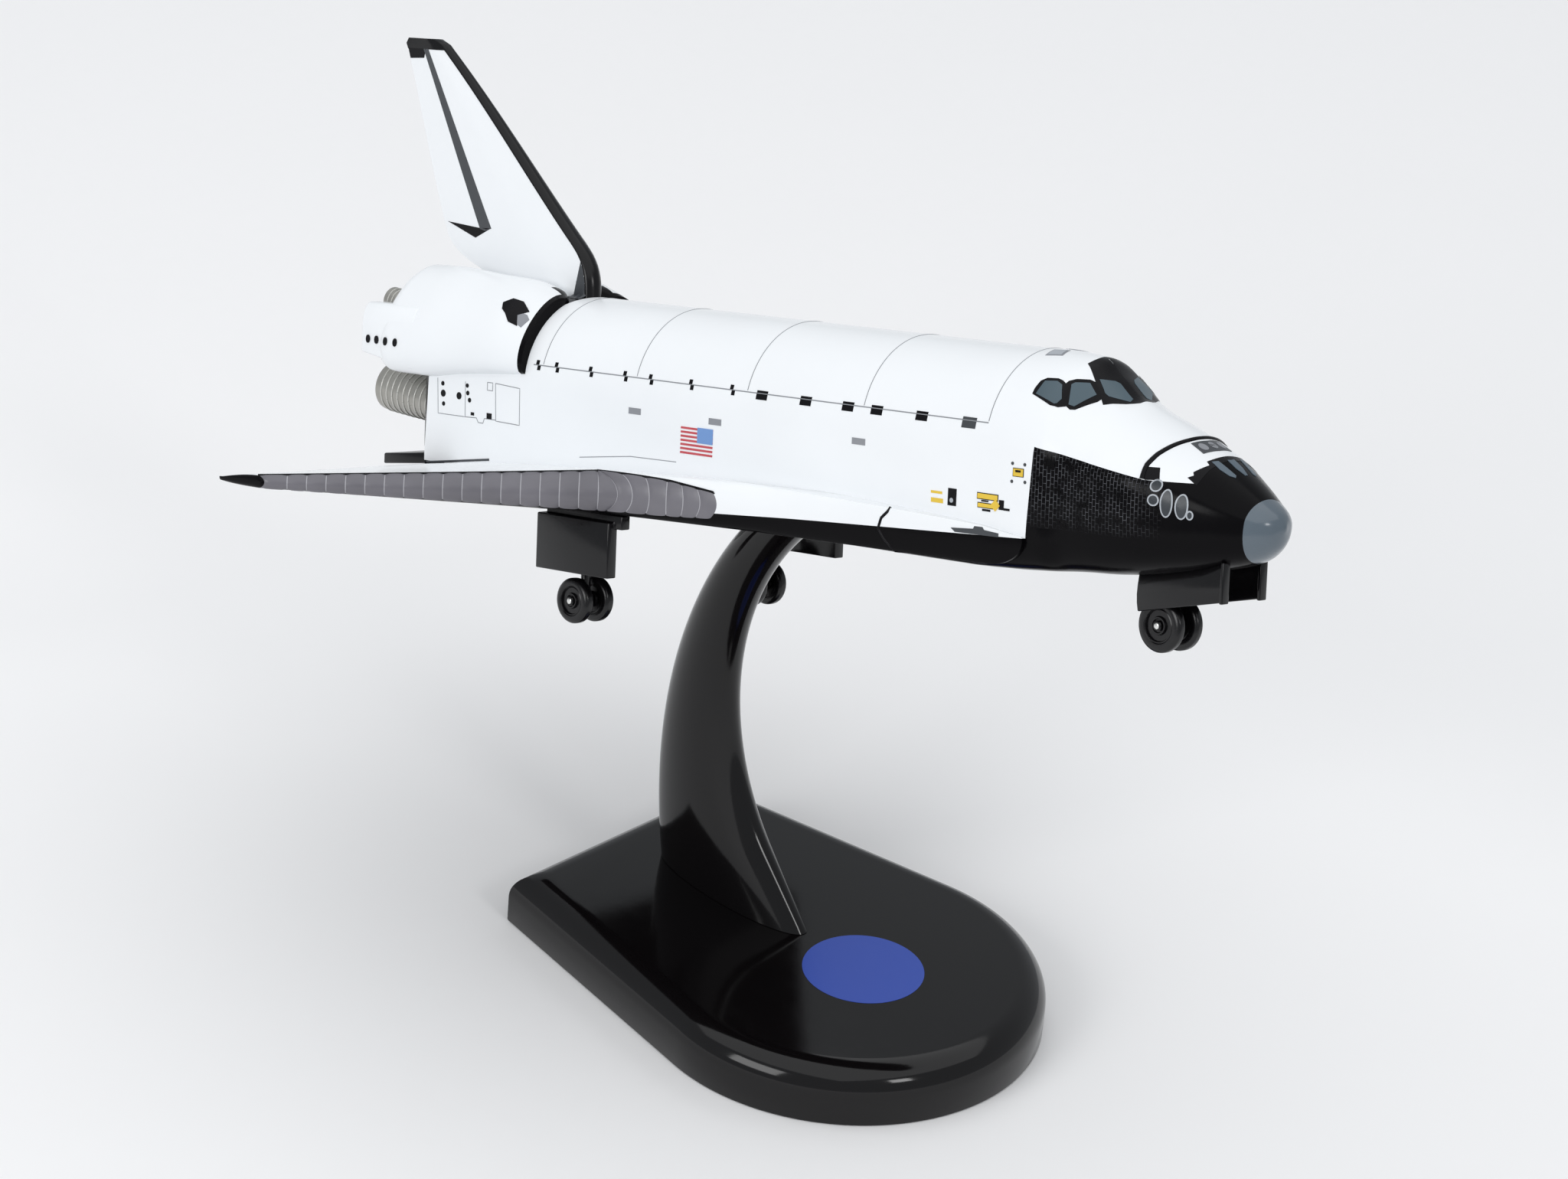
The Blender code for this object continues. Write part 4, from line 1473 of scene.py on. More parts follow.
@dataclass(frozen=True)
class Bell:
    """An engine bell with ribs round it, open at the back."""

    throat: float
    exit: float
    length: float
    wall: float
    ribs: int
    rib: float
    # How deep the hollow goes, as a share of the length from the throat
    floor: float = 0.3
    sides: int = 96

    def radius(self, along: float) -> float:
        """The outer radius at a distance from the throat."""
        return self.throat + (self.exit - self.throat) * math.sqrt(along / self.length)

    def shell(self) -> Shape:
        """The wall, from the throat's centre over the outside and back inside.

        Returns:
            Its shape.
        """
        length, lip = self.length, self.wall / 2
        outer = [(self.radius(length * t * t), length * t * t) for t in steps(0, 1, 1 / 24)]
        round_lip = steps(0, math.pi, math.pi / 8)[1:]
        rim = [(self.exit - lip + lip * math.cos(a), length + lip * math.sin(a)) for a in round_lip]
        inside = steps(length, length * self.floor, length / 16)[1:]
        inner = [(self.radius(a) - self.wall, a) for a in inside]
        return revolve([(0, 0), *outer, *rim, *inner, (0, length * self.floor)], self.sides)

    def liner(self) -> Shape:
        """The dark skin inside, a hair's breadth off the wall: painted shade in the hollow.

        Returns:
            Its shape.
        """
        last = self.length * self.floor
        deep = steps(self.length - 0.12, last + 0.06, self.length / 16)
        outer = [(self.radius(a) - self.wall + 0.02, a) for a in deep]
        inner = [(self.radius(a) - self.wall - 0.03, a) for a in reversed(deep)]
        return revolve([*outer, (0, last + 0.02), (0, last + 0.09), *inner], self.sides, closed=True)


@dataclass
class Engines:
    """Three main bells on the bulkhead and one small bell on each pod."""

    main: Bell = Bell(1.95, 2.6, 8.2, 0.3, 9, 0.1)
    pod: Bell = Bell(0.95, 1.35, 2.1, 0.22, 3, 0.07)
    pitch: float = math.radians(8.0)
    main_seat_s: float = 106.92
    pod_seat_s: float = 111.96
    lower: Flat = (4.6, -3.3)
    upper_z: float = 3.6
    on_pod: Flat = (6.1, 6.6)

    def build(self, shop: Workshop) -> None:
        """Makes the bells, their ribs with a painted highlight and their dark insides of painted shade, the
        bulkhead and the body flap.

        Args:
            shop: Where pieces are made.
        """
        spots = [("main_engine_top", self.main, self.main_seat_s, 0.0, self.upper_z)]
        for name, bell, seat, (x, z) in (
            ("main_engine", self.main, self.main_seat_s, self.lower),
            ("pod_engine", self.pod, self.pod_seat_s, self.on_pod),
        ):
            spots += [(f"{name}_{side.label}", bell, seat, side.value * x, z) for side in Side]
        tree = rib_tree()
        for node, bell, seat, x, z in spots:
            # The tilted throat's upper edge stays on its seat
            s = seat + bell.throat * math.sin(self.pitch)
            place = shop.placement @ Matrix.Translation((x, s, z))
            place = place @ Matrix.Rotation(self.pitch - math.pi / 2, 4, "X")
            args = {"place": place, "sharp": 50}
            shop.piece(f"{node}_bell", bell.shell(), "nozzle", Slot.NOZZLE, nodes=(node,), **args)
            # A dark skin inside the bell: painted shade
            shop.piece(f"{node}_liner", bell.liner(), "liner_shade", Slot.NOZZLE, **args)
            values = {"Ribs": bell.ribs, "Pitch": bell.length / (bell.ribs + 1), "Throat Radius": bell.throat}
            values |= {"Exit Radius": bell.exit, "Rib Radius": bell.rib}
            # The ribs get a paler grey than the wall: a painted highlight
            values["Material"] = shop.materials["rib_highlight"]
            rings = shop.grown(f"{node}_rings", tree, bpy.data.meshes.new("rings"), values)
            rings.data.transform(place)
            shop.dress(rings, "rib_highlight", BODY, (), 60)
        shop.refined("engine_bulkhead", "black", 0.12)
        shop.refined("body_flap", "black", 0.15)


@dataclass(frozen=True)
class Gear:
    """A leg with two wheels on one axle, and the body that the wheels ride on."""

    name: str
    body: str
    axle: Point
    radius: float
    thick: float
    spacing: float
    axle_radius: float = 0.36
    axle_reach: float = 0.3
    pin_radius: float = 0.3
    bore_gap: float = 0.06
    # The wheel's face: shares of its radius, and how deep it lies there
    dish: Table = (
        (0.24, 0.16), (0.27, 0.02), (0.32, 0.02), (0.36, 0.26),
        (0.56, 0.26), (0.6, 0.05), (0.64, 0.09), (0.68, 0.01),
    )

    def wheel(self) -> Shape:
        """A tyre with round shoulders and a dished rim, closed round its bore.

        Returns:
            Its shape.
        """
        half, rim, bend = self.thick / 2, self.radius, self.radius * 0.25
        face = [(self.axle_radius + self.bore_gap, half - self.dish[0][1])]
        face += [(rim * share, half - deep) for share, deep in self.dish]
        for angle in steps(0, math.pi / 2, math.pi / 16):
            face.append((rim - bend + bend * math.sin(angle), half * (0.3 + 0.7 * math.cos(angle))))
        back = [(radius, -along) for radius, along in reversed(face)]
        return revolve(face + back, 96, closed=True)

    def build(self, shop: Workshop) -> None:
        """Makes the wheels, the axle with its steel pin ends, and the leg.

        Args:
            shop: Where pieces are made.
        """
        turn = Matrix.Rotation(math.pi / 2, 4, "Y")
        centre = shop.placement @ Matrix.Translation(self.axle)
        on = {"body": self.body, "sharp": 28}
        for which, side in (("inner", -1), ("outer", 1)):
            x = side * math.copysign(self.spacing / 2, self.axle[0] or 1)
            node = f"{self.name}_wheel_{which if self.axle[0] else Side(side).label}"
            place = centre @ Matrix.Translation((x, 0, 0)) @ turn
            shop.piece(f"{node}_tyre", self.wheel(), "wheel", Slot.WHEEL, nodes=(node,), place=place, **on)
        reach = (self.spacing + self.thick) / 2 + self.axle_reach
        shoulder, head = reach - self.axle_reach + 0.06, self.axle_radius * 1.4
        half = [(0, reach - 0.1), (head - 0.1, reach - 0.1), (head, reach - 0.2), (head, shoulder)]
        half.append((self.axle_radius, shoulder))
        profile = [(r, -a) for r, a in half] + [(r, a) for r, a in reversed(half)]
        on["place"] = centre @ turn
        axle = f"{self.name}_axle"
        shop.piece(f"{axle}_cap", revolve(profile, 64), "gear", Slot.WHEEL, nodes=(axle,), **on)
        pin_radius, foot = self.pin_radius, reach - 0.2
        dome = [(pin_radius * math.cos(a), foot + 0.08 + 0.1 * math.sin(a)) for a in steps(0, 1.5, 0.25)]
        verts, faces = revolve([(0, foot), (pin_radius, foot), *dome, (0, foot + 0.18)], 48)
        flip = Matrix.Rotation(math.pi, 4, "X")
        pair = joined([(verts, faces), ([flip @ v for v in verts], faces)])
        shop.piece(f"{axle}_pin", pair, "pin", Slot.PIN, **on)
        shop.refined(f"{self.name}_leg", "gear", 0.08)


NOSE_WHEEL = {"radius": 2.5, "thick": 1.14, "spacing": 2.54}
MAIN_WHEEL = {"radius": 2.25, "thick": 1.25, "spacing": 2.7}
GEARS = (
    Gear("nose_gear", "nose_wheels", NOSE_AXLE, **NOSE_WHEEL),
    Gear("main_gear_starboard", "main_wheels_starboard", (-MAIN_AXLE[0], *MAIN_AXLE[1:]), **MAIN_WHEEL),
    Gear("main_gear_port", "main_wheels_port", MAIN_AXLE, **MAIN_WHEEL),
)


@dataclass(frozen=True)
class Doors:
    """The open gear doors, straight from the CAD with softened edges."""

    bevel: float = 0.12
    top_band: float = 0.6
    raise_top: float = 0.3
    ridge_s: float = 5.6
    ridge: float = 0.13

    def build(self, shop: Workshop) -> None:
        """Makes the doors.

        Args:
            shop: Where pieces are made.
        """
        for side in Side:
            self.nose_door(shop, f"nose_gear_door_{side.label}")
        for side in Side:
            shop.refined(f"main_gear_door_{side.label}", "gear", self.bevel)

    def nose_door(self, shop: Workshop, name: str) -> None:
        """Makes a nose door, whose top runs up into the belly's curve, and its front ridge.

        Args:
            shop: Where pieces are made.
            name: The door's CAD node.
        """
        curve = Fuselage().curve
        back = shop.placement.inverted()
        door = shop.refined(name, "gear", self.bevel)
        for vert in door.data.vertices:
            own = back @ vert.co
            if own.z > curve(own.y)[3] - self.top_band:
                vert.co = shop.placement @ (own + Vector((0, 0, self.raise_top)))
        front = [v for v in (back @ v.co for v in door.data.vertices) if v.y < self.ridge_s]
        low = [min(axis) - self.ridge for axis in zip(*front)]
        high = [max(axis) + self.ridge for axis in zip(*front)]
        shop.piece(f"{name}_ridge", block(low, high), "gear", Slot.BLACK, bevel=self.bevel)


# The stand


@dataclass
class Stand:
    """A gloss black base with a round front and an arm that curves up to the belly."""

    taper: float = math.radians(9.7)
    edge: float = 3.0
    arc_steps: int = 128
    edge_steps: int = 12
    side_steps: int = 24
    # The base's small lower edge: how far it is drawn in, and its height
    foot: Table = ((0.25, 0.0), (0.08, 0.08), (0.0, 0.25))
    rear_edge_y: float = 27.1
    rear_radius: float = 59.9
    rear_middle_z: float = 17.15
    front_edge_y: float = 17.95
    front_radius: float = 26.8
    front_middle_z: float = 30.3
    foot_flare_z: float = 12.8
    half_width: float = 2.7
    top_z: float = 50.1
    bend_from_z: float = 28.0
    seat: Point = (0.0, 62.6, -11.06)
    stations: int = 72
    ring_steps: int = 72
    disc_radius: float = 6.15
    disc_y: float = -8.8
    disc_lift: float = 0.03
    disc_sunk: float = 0.07

    def outline(self, inset: float, radius: float, middle_y: float, rear: float) -> list[Flat]:
        """The base's outline, drawn in by an inset: round the front, then the rear.

        Args:
            inset: How far it is drawn in.
            radius: Half the width of the round front.
            middle_y: The round front's middle.
            rear: The rear edge's distance from that middle.

        Returns:
            The outline's points.
        """
        size, reach = radius - inset, math.pi / 2 + self.taper
        arc = steps(-reach, reach, 2 * reach / self.arc_steps)
        points = [(size * math.sin(a), -size * math.cos(a)) for a in arc]
        last_x, last_y = points[-1]
        length = rear - inset - last_y
        rear_x = last_x - length * math.tan(self.taper)
        sides = steps(0, 1, 1 / self.side_steps)[1:]
        right = [(last_x + (rear_x - last_x) * part, last_y + length * part) for part in sides]
        across = [(rear_x * (1 - 2 * part), last_y + length) for part in sides]
        left = [(-x, y) for x, y in reversed(right[:-1])]
        return [(x, y + middle_y) for x, y in points + right + across + left]

    def base(self, low: Vector, high: Vector) -> Shape:
        """The slab between the corners of its CAD box, in millimetres.

        Args:
            low: The lowest corner.
            high: The highest corner.

        Returns:
            Its shape.
        """
        radius = (high.x - low.x) / 2
        middle_y = low.y + radius
        levels = [*self.foot]
        for angle in steps(0, math.pi / 2, math.pi / 2 / self.edge_steps):
            inset = self.edge * (1 - math.cos(angle))
            levels.append((inset, high.z - self.edge * (1 - math.sin(angle))))
        rings = []
        for inset, z in levels:
            outline = self.outline(inset, radius, middle_y, high.y - middle_y)
            rings.append([(x, y, z) for x, y in outline])
        return loft(rings)

    def edges(self, z: float) -> Flat:
        """The arm's rear and front edge at a height, both arcs of circles.

        Args:
            z: The height.

        Returns:
            The two distances.
        """
        rise = z - self.rear_middle_z
        rear = self.rear_edge_y - self.rear_radius + math.sqrt(self.rear_radius**2 - rise**2)
        drop = max(z, self.foot_flare_z) - self.front_middle_z
        half = math.sqrt(self.front_radius**2 - drop**2)
        front = self.front_edge_y - self.front_radius + half
        return rear, front + min(z - self.foot_flare_z, 0) * -drop / half

    def arm(self, low_z: float, middle_y: float, orbiter: Matrix) -> Shape:
        """The arm from the base up to the belly, bent over to meet it squarely.

        Args:
            low_z: Its foot's height.
            middle_y: The middle of the base's round front.
            orbiter: From orbiter millimetres to the shared frame.

        Returns:
            Its shape.
        """
        own = Matrix.Scale(1 / MM, 4) @ orbiter
        plane_top = Vector((0, sum(self.edges(self.top_z)) / 2 + middle_y, self.top_z))
        shift = own @ Vector(self.seat) - plane_top
        end = own.to_3x3().normalized().to_quaternion()
        rings = []
        for z in steps(low_z, self.top_z, (self.top_z - low_z) / self.stations):
            blend = eased(max(0.0, (z - self.bend_from_z) / (self.top_z - self.bend_from_z)))
            rear, front = self.edges(z)
            centre = Vector((0, (rear + front) / 2 + middle_y, z)) + blend * shift
            tilt = Matrix.Identity(3).to_quaternion().slerp(end, blend)
            half = (rear - front) / 2
            flat = [(self.half_width * math.cos(a), half * math.sin(a)) for a in turns(self.ring_steps)]
            rings.append([centre + tilt @ Vector((x, y, 0)) for x, y in flat])
        return loft(rings)

    def build(self, shop: Workshop) -> None:
        """Makes the base, its disc and the arm.

        Args:
            shop: Where pieces are made.
        """
        low, high = (Vector(corner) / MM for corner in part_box("stand_base"))
        to_metres = Matrix.Scale(MM, 4)
        base = self.base(low, high)
        shop.piece("base", base, "stand", Slot.BLACK, nodes=("stand_base",), place=to_metres)
        top, bottom = high.z + self.disc_lift, high.z - self.disc_sunk
        disc = revolve([(0, bottom), (self.disc_radius, bottom), (self.disc_radius, top), (0, top)], 128)
        there = to_metres @ Matrix.Translation((0, self.disc_y, 0))
        shop.piece("base_disc", disc, "ink_disc", Slot.BLACK, place=there, sharp=50)
        middle_y = low.y + (high.x - low.x) / 2
        arm = self.arm(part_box("stand_arm")[0][2] / MM, middle_y, shop.placement)
        shop.piece("arm", arm, "stand", Slot.BLACK, nodes=("stand_arm",), place=to_metres, sharp=50)


# Printed markings


@dataclass(frozen=True)
class Print:
    """An inked area, given by its outline on the starboard side and printed on both.

    A higher layer lies over a lower one. Reach is how far off the outline a skin is
    looked for.
    """

    ink: str
    outline: tuple[Point, ...]
    layer: int = 1
    reach: float = 12.0


@dataclass(frozen=True)
class Line:
    """A printed or engraved line on the starboard side, and its mirror image."""

    ink: str
    width: float
    points: tuple[Point, ...]


def flank(*places: Flat, x: float = -8.8) -> tuple[Point, ...]:
    """Points on the body's flat side, by their distance aft and their height."""
    return tuple((x, s, z) for s, z in places)


def oblong(s: float, z: float, length: float, height: float, lean: float = 0.0) -> tuple[Point, ...]:
    """A rectangle on the body's flat side, by its centre; lean shifts its top forward."""
    corners = ((-1, -1), (1, -1), (1, 1), (-1, 1))
    return flank(*((s + a * length / 2 - b * lean / 2, z + b * height / 2) for a, b in corners))


def oval(s: float, z: float, half: float, rise: float, x: float = -8.8) -> tuple[Point, ...]:
    """An upright oval seen from the side, by its centre and half axes."""
    return flank(*((s + half * math.cos(a), z + rise * math.sin(a)) for a in turns(28)), x=x)


def on_top(x: float, s: float, z: float, half: float, length: float) -> tuple[Point, ...]:
    """An oval seen from above, by its centre and half axes."""
    around = [(math.cos(a), length * math.sin(a)) for a in turns(20)]
    return tuple((x + half * across, s + aft, z + aft / 2) for across, aft in around)


def on_fin(ink: str, *places: Flat) -> Print:
    """A print on the fin's side, by its outline's distance aft and height."""
    return Print(ink, flank(*places, x=-1.0), reach=0.9)


WINDOWS = (
    # The two side windows: frame, then pane
    Print("ink_black", (
        (-6.7, 25.5, 5.2), (-6.4, 25.55, 5.75), (-5.7, 25.45, 6.4), (-5.3, 25.0, 6.68), (-5.0, 23.9, 6.7),
        (-5.1, 23.3, 6.62), (-5.3, 22.7, 6.35), (-6.05, 21.85, 4.95), (-6.3, 21.8, 4.4), (-6.7, 22.35, 4.25),
        (-7.0, 23.1, 4.45),
    )),
    Print("glass", (
        (-6.7, 25.1, 5.3), (-5.6, 25.0, 6.4), (-5.3, 23.8, 6.5), (-5.4, 23.1, 6.2), (-6.2, 22.4, 5.0),
        (-6.6, 22.6, 4.6), (-6.8, 22.8, 4.6),
    ), 2),
    Print("ink_black", (
        (-5.25, 22.9, 6.35), (-4.9, 22.8, 6.6), (-4.3, 22.4, 6.72), (-3.45, 21.5, 6.76), (-3.2, 21.0, 6.6),
        (-3.7, 19.75, 5.2), (-4.2, 19.9, 4.9), (-5.9, 21.05, 4.15), (-6.25, 21.4, 4.2), (-6.3, 21.85, 4.45),
    )),
    Print("glass", (
        (-5.0, 22.4, 6.3), (-4.6, 22.3, 6.4), (-3.7, 21.3, 6.5), (-3.9, 20.3, 5.5), (-5.9, 21.2, 4.5),
        (-6.1, 21.7, 4.6),
    ), 2),
    # The windshield's black hood and its front pane
    Print("ink_black", (
        (0.02, 22.9, 8.6), (-1.2, 22.8, 8.4), (-2.4, 22.8, 8.1), (-3.1, 21.3, 6.8), (-4.0, 19.4, 4.7),
        (-2.6, 18.4, 5.0), (-1.5, 17.85, 5.0), (-0.9, 17.55, 5.0), (0.02, 17.6, 5.2),
    )),
    Print("glass", (
        (-2.7, 21.0, 6.9), (-1.3, 20.4, 6.6), (-0.95, 20.1, 6.3), (-0.95, 18.5, 5.1), (-1.5, 18.25, 5.0),
        (-3.1, 19.5, 5.5), (-3.2, 19.9, 5.7),
    ), 2),
    # The overhead window
    Print("ink_grey", ((-2.7, 27.7, 8.5), (-0.8, 28.2, 8.9), (-0.4, 26.6, 8.9), (-2.2, 26.0, 8.6))),
    Print("ink_silver", ((-2.5, 27.6, 8.6), (-0.95, 28.0, 8.9), (-0.6, 26.8, 8.9), (-2.1, 26.25, 8.6)), 2),
)

NOSE = (
    # The notch beside the nose's white, and the black's ragged upper edge
    Print("ink_black", ((-6.0, 12.2, -0.1), (-5.5, 11.1, -0.1), (-6.0, 10.7, -1.15), (-6.5, 12.0, -1.25))),
    Print("ink_black", (
        (-4.6, 7.6, -1.35), (-4.7, 8.6, -0.75), (-4.3, 8.2, -0.5), (-4.1, 8.45, -0.3), (-2.6, 7.85, 0.35),
        (-2.5, 8.25, 0.65), (-1.5, 8.15, 0.8), (0.02, 8.1, 0.95), (0.02, 7.5, 0.7), (-3.0, 7.5, 0.0),
    )),
    # Thrusters on top: a dark plate with round holes, and the long ones ahead of it
    Print("ink_dark_grey", ((0.02, 10.5, 2.0), (-1.9, 10.7, 1.9), (-2.0, 9.1, 1.2), (0.02, 8.9, 1.3)), 2),
    Print("ink_grey", on_top(-1.25, 9.8, 1.6, 0.42, 0.5), 3),
    Print("ink_grey", on_top(0.0, 9.75, 1.65, 0.42, 0.5), 3),
    Print("ink_slate", (
        (-2.15, 8.0, 0.6), (-1.5, 7.75, 0.65), (-1.2, 5.9, -0.5), (-1.45, 5.7, -0.6), (-1.85, 6.1, -0.4),
        (-2.15, 7.0, 0.1),
    ), 2),
    Print("ink_slate", (
        (-0.45, 7.6, 0.7), (0.02, 7.5, 0.7), (0.02, 5.7, -0.5), (-0.15, 5.65, -0.5), (-0.45, 6.6, 0.0)
    ), 2),
    # Side thrusters: x, s, z and half axes; each has a silver rim
    *(
        Print(ink, oval(s, z, half - shrink, rise - shrink, x), layer)
        for x, s, z, half, rise in (
            (-6.3, 10.8, -1.6, 0.56, 0.56),
            (-6.5, 10.9, -2.9, 0.54, 0.54),
            (-6.1, 9.7, -3.1, 0.58, 1.28),
            (-5.6, 8.35, -3.3, 0.6, 1.15),
            (-5.3, 7.6, -4.0, 0.33, 0.43),
        )
        for ink, shrink, layer in (("ink_silver", 0.0, 1), ("ink_dark_slate", 0.14, 2))
    ),
)

BAY_DOOR_MARKS = (
    # Hinges along the bay door's edge: staggered pairs aft, then square ones
    *(
        Print("ink_black", oblong(s + a, 2.35 + b, 0.44, 0.5))
        for s in (89.3, 86.6, 81.7, 76.8, 73.2, 67.6, 62.0)
        for a, b in ((0.14, 0.24), (-0.14, -0.24))
    ),
    *(Print("ink_black", oblong(s, 2.2, 1.45, 0.86)) for s in (58.0, 52.2, 46.7, 43.0, 37.3)),
    Print("ink_dark_grey", oblong(31.4, 2.15, 1.7, 1.0)),
    # Vents
    *(Print("ink_grey", oblong(s, -0.9, 1.7, 0.62)) for s in (75.0, 63.9, 44.9)),
)

REAR_SIDE_MARKS = (
    # Service ports by the bulkhead: s, z and radius
    *(
        Print("ink_black", oval(s, z, r, r))
        for s, z, r in (
            (103.1, -0.7, 0.24),
            (103.0, -1.7, 0.36),
            (102.9, -2.75, 0.23),
            (100.6, -1.75, 0.37),
            (99.4, -0.6, 0.22),
            (99.3, -1.35, 0.24),
            (99.0, -2.05, 0.24),
        )
    ),
    Print("ink_black", oblong(98.5, -3.4, 0.5, 0.32)),
    Print("ink_black", oblong(96.0, -3.4, 0.75, 0.6)),
    # Thruster holes in the pod's box
    *(Print("ink_black", oval(s, 3.1, 0.29, 0.42, -11.0), 4) for s in (112.8, 111.5, 109.6, 108.1)),
)

FRONT_SIDE_MARKS = (
    # A striped flag panel with a plain blue corner
    *(Print("ink_red", oblong(66.3, -1.85 - 0.4 * k, 4.4, 0.21, 0.02)) for k in range(7)),
    Print("ink_blue", oblong(65.15, -2.42, 2.1, 1.5), 2),
    # Bare yellow and black patches where the craft is opened from outside
    Print("ink_yellow", oblong(34.8, -4.6, 1.4, 0.24, -0.02)),
    Print("ink_yellow", oblong(34.7, -5.35, 1.5, 0.42, -0.02)),
    Print("ink_black", oblong(32.85, -4.85, 1.05, 1.6)),
    Print("ink_silver", oval(32.9, -5.15, 0.22, 0.22), 2),
    Print("ink_black", oblong(28.5, -4.36, 2.6, 0.62)),
    Print("ink_yellow", oblong(28.5, -4.36, 2.45, 0.46), 2),
    Print("ink_black", oblong(28.6, -5.2, 2.2, 0.5)),
    Print("ink_yellow", oblong(28.6, -5.2, 2.05, 0.36), 2),
    Print("ink_black", oblong(28.8, -4.78, 0.8, 0.14), 3),
    Print("ink_black", oblong(28.6, -5.62, 1.0, 0.2)),
    Print("ink_yellow", flank((28.05, -5.05), (27.5, -4.5), (26.95, -5.05), (27.5, -5.6)), 3),
    Print("ink_black", oblong(26.8, -4.95, 0.6, 0.9)),
    Print("ink_black", oblong(26.15, -5.3, 0.7, 0.22)),
    Print("ink_black", oblong(25.0, -1.78, 1.25, 0.8)),
    Print("ink_yellow", oblong(25.0, -1.78, 1.12, 0.68), 2),
    Print("ink_black", oblong(25.0, -1.66, 0.6, 0.2), 3),
    *(
        Print("ink_dark_grey", oval(s, z, 0.16, 0.16))
        for s, z in ((25.7, -1.0), (24.3, -1.0), (25.7, -2.65), (24.2, -2.6))
    ),
)

TAIL_MARKS = (
    # The grey corner of the pod's dark patch
    Print("ink_grey", (
        (-8.4, 93.6, 6.5), (-7.6, 93.2, 7.25), (-7.6, 92.3, 7.2), (-7.9, 91.75, 6.85), (-8.6, 92.2, 6.05)
    )),
    # A dark grey patch where the glove's white ends
    Print("ink_dark_grey", (
        (-9.8, 31.9, -7.5), (-9.6, 29.4, -7.35), (-9.5, 29.3, -7.1), (-9.4, 28.4, -7.1), (-9.4, 28.2, -7.35),
        (-9.2, 26.6, -7.5), (-9.2, 26.6, -7.85), (-9.8, 31.4, -7.85),
    )),
    # The rudder's front edge and its foot, the fin's tip and its root
    on_fin("ink_dark_grey", (116.9, 32.75), (116.1, 32.75), (105.2, 14.8), (106.2, 14.5), (107.0, 14.65)),
    on_fin("ink_black", (112.2, 15.1), (107.1, 14.75), (105.2, 14.85), (107.7, 13.7)),
    on_fin("ink_black", (119.5, 32.75), (119.1, 31.7), (116.8, 31.8), (116.5, 32.75)),
    on_fin("ink_dark_grey", (91.6, 12.7), (92.4, 8.7), (90.6, 8.7), (90.7, 11.3), (91.1, 12.2)),
    # The pod's dark patch
    Print("ink_black", (
        (-7.7, 95.7, 8.1), (-7.3, 95.2, 8.35), (-7.0, 94.9, 8.5), (-6.8, 93.6, 8.3), (-7.2, 92.3, 7.4),
        (-7.9, 93.3, 7.0), (-8.5, 92.7, 6.0), (-8.6, 93.9, 6.3), (-8.3, 94.7, 7.1), (-8.2, 95.3, 7.5),
    ), 2),
)

MARKS = (*WINDOWS, *NOSE, *BAY_DOOR_MARKS, *REAR_SIDE_MARKS, *FRONT_SIDE_MARKS, *TAIL_MARKS)

LINES = (
    # The nose's black seam, and the bay door's edge
    Line("ink_black", 0.5, (
        (-6.6, 12.25, -1.15), (-6.2, 12.3, -0.4), (-5.9, 12.3, 0.1), (-4.9, 12.0, 1.0), (-3.4, 11.5, 1.8),
        (-1.6, 11.1, 2.2), (0.0, 10.95, 2.4),
    )),
    Line("ink_line", 0.12, flank((90.0, 2.35), (29.1, 2.35), x=-8.5)),
    # Service panels by the bulkhead
    Line("ink_line", 0.09, flank((103.9, -0.2), (103.7, -3.8), (99.6, -3.8), (99.7, -0.2))),
    Line("ink_line", 0.09, flank(
        (99.6, -3.8), (97.9, -3.75), (97.6, -4.2), (96.9, -4.2), (96.7, -3.7), (95.0, -3.7)
    )),
    Line("ink_line", 0.09, flank((95.2, 0.0), (91.6, -0.2), (91.5, -3.9), (95.0, -3.8), (95.2, 0.0))),
    Line("ink_line", 0.09, flank((96.4, 0.0), (95.6, 0.0), (95.6, -0.8), (96.4, -0.8), (96.4, 0.0))),
    Line("ink_line", 0.09, flank((82.6, -6.2), (75.4, -5.4), (69.0, -5.3))),
    # The shadow gap over the wing's root, and the glove's joint
    Line("ink_dark_grey", 0.26, flank((105.3, -9.0), (95.8, -7.8))),
    Line("ink_black", 0.3, (
        (-10.5, 38.9, -6.6), (-10.9, 39.7, -7.4), (-11.0, 40.0, -8.4), (-10.8, 39.3, -9.4),
        (-10.0, 38.2, -10.4), (-9.2, 37.4, -10.5),
    )),
)

BAY_DOOR_JOINTS_S = (88.6, 75.2, 60.0, 44.7, 29.1)


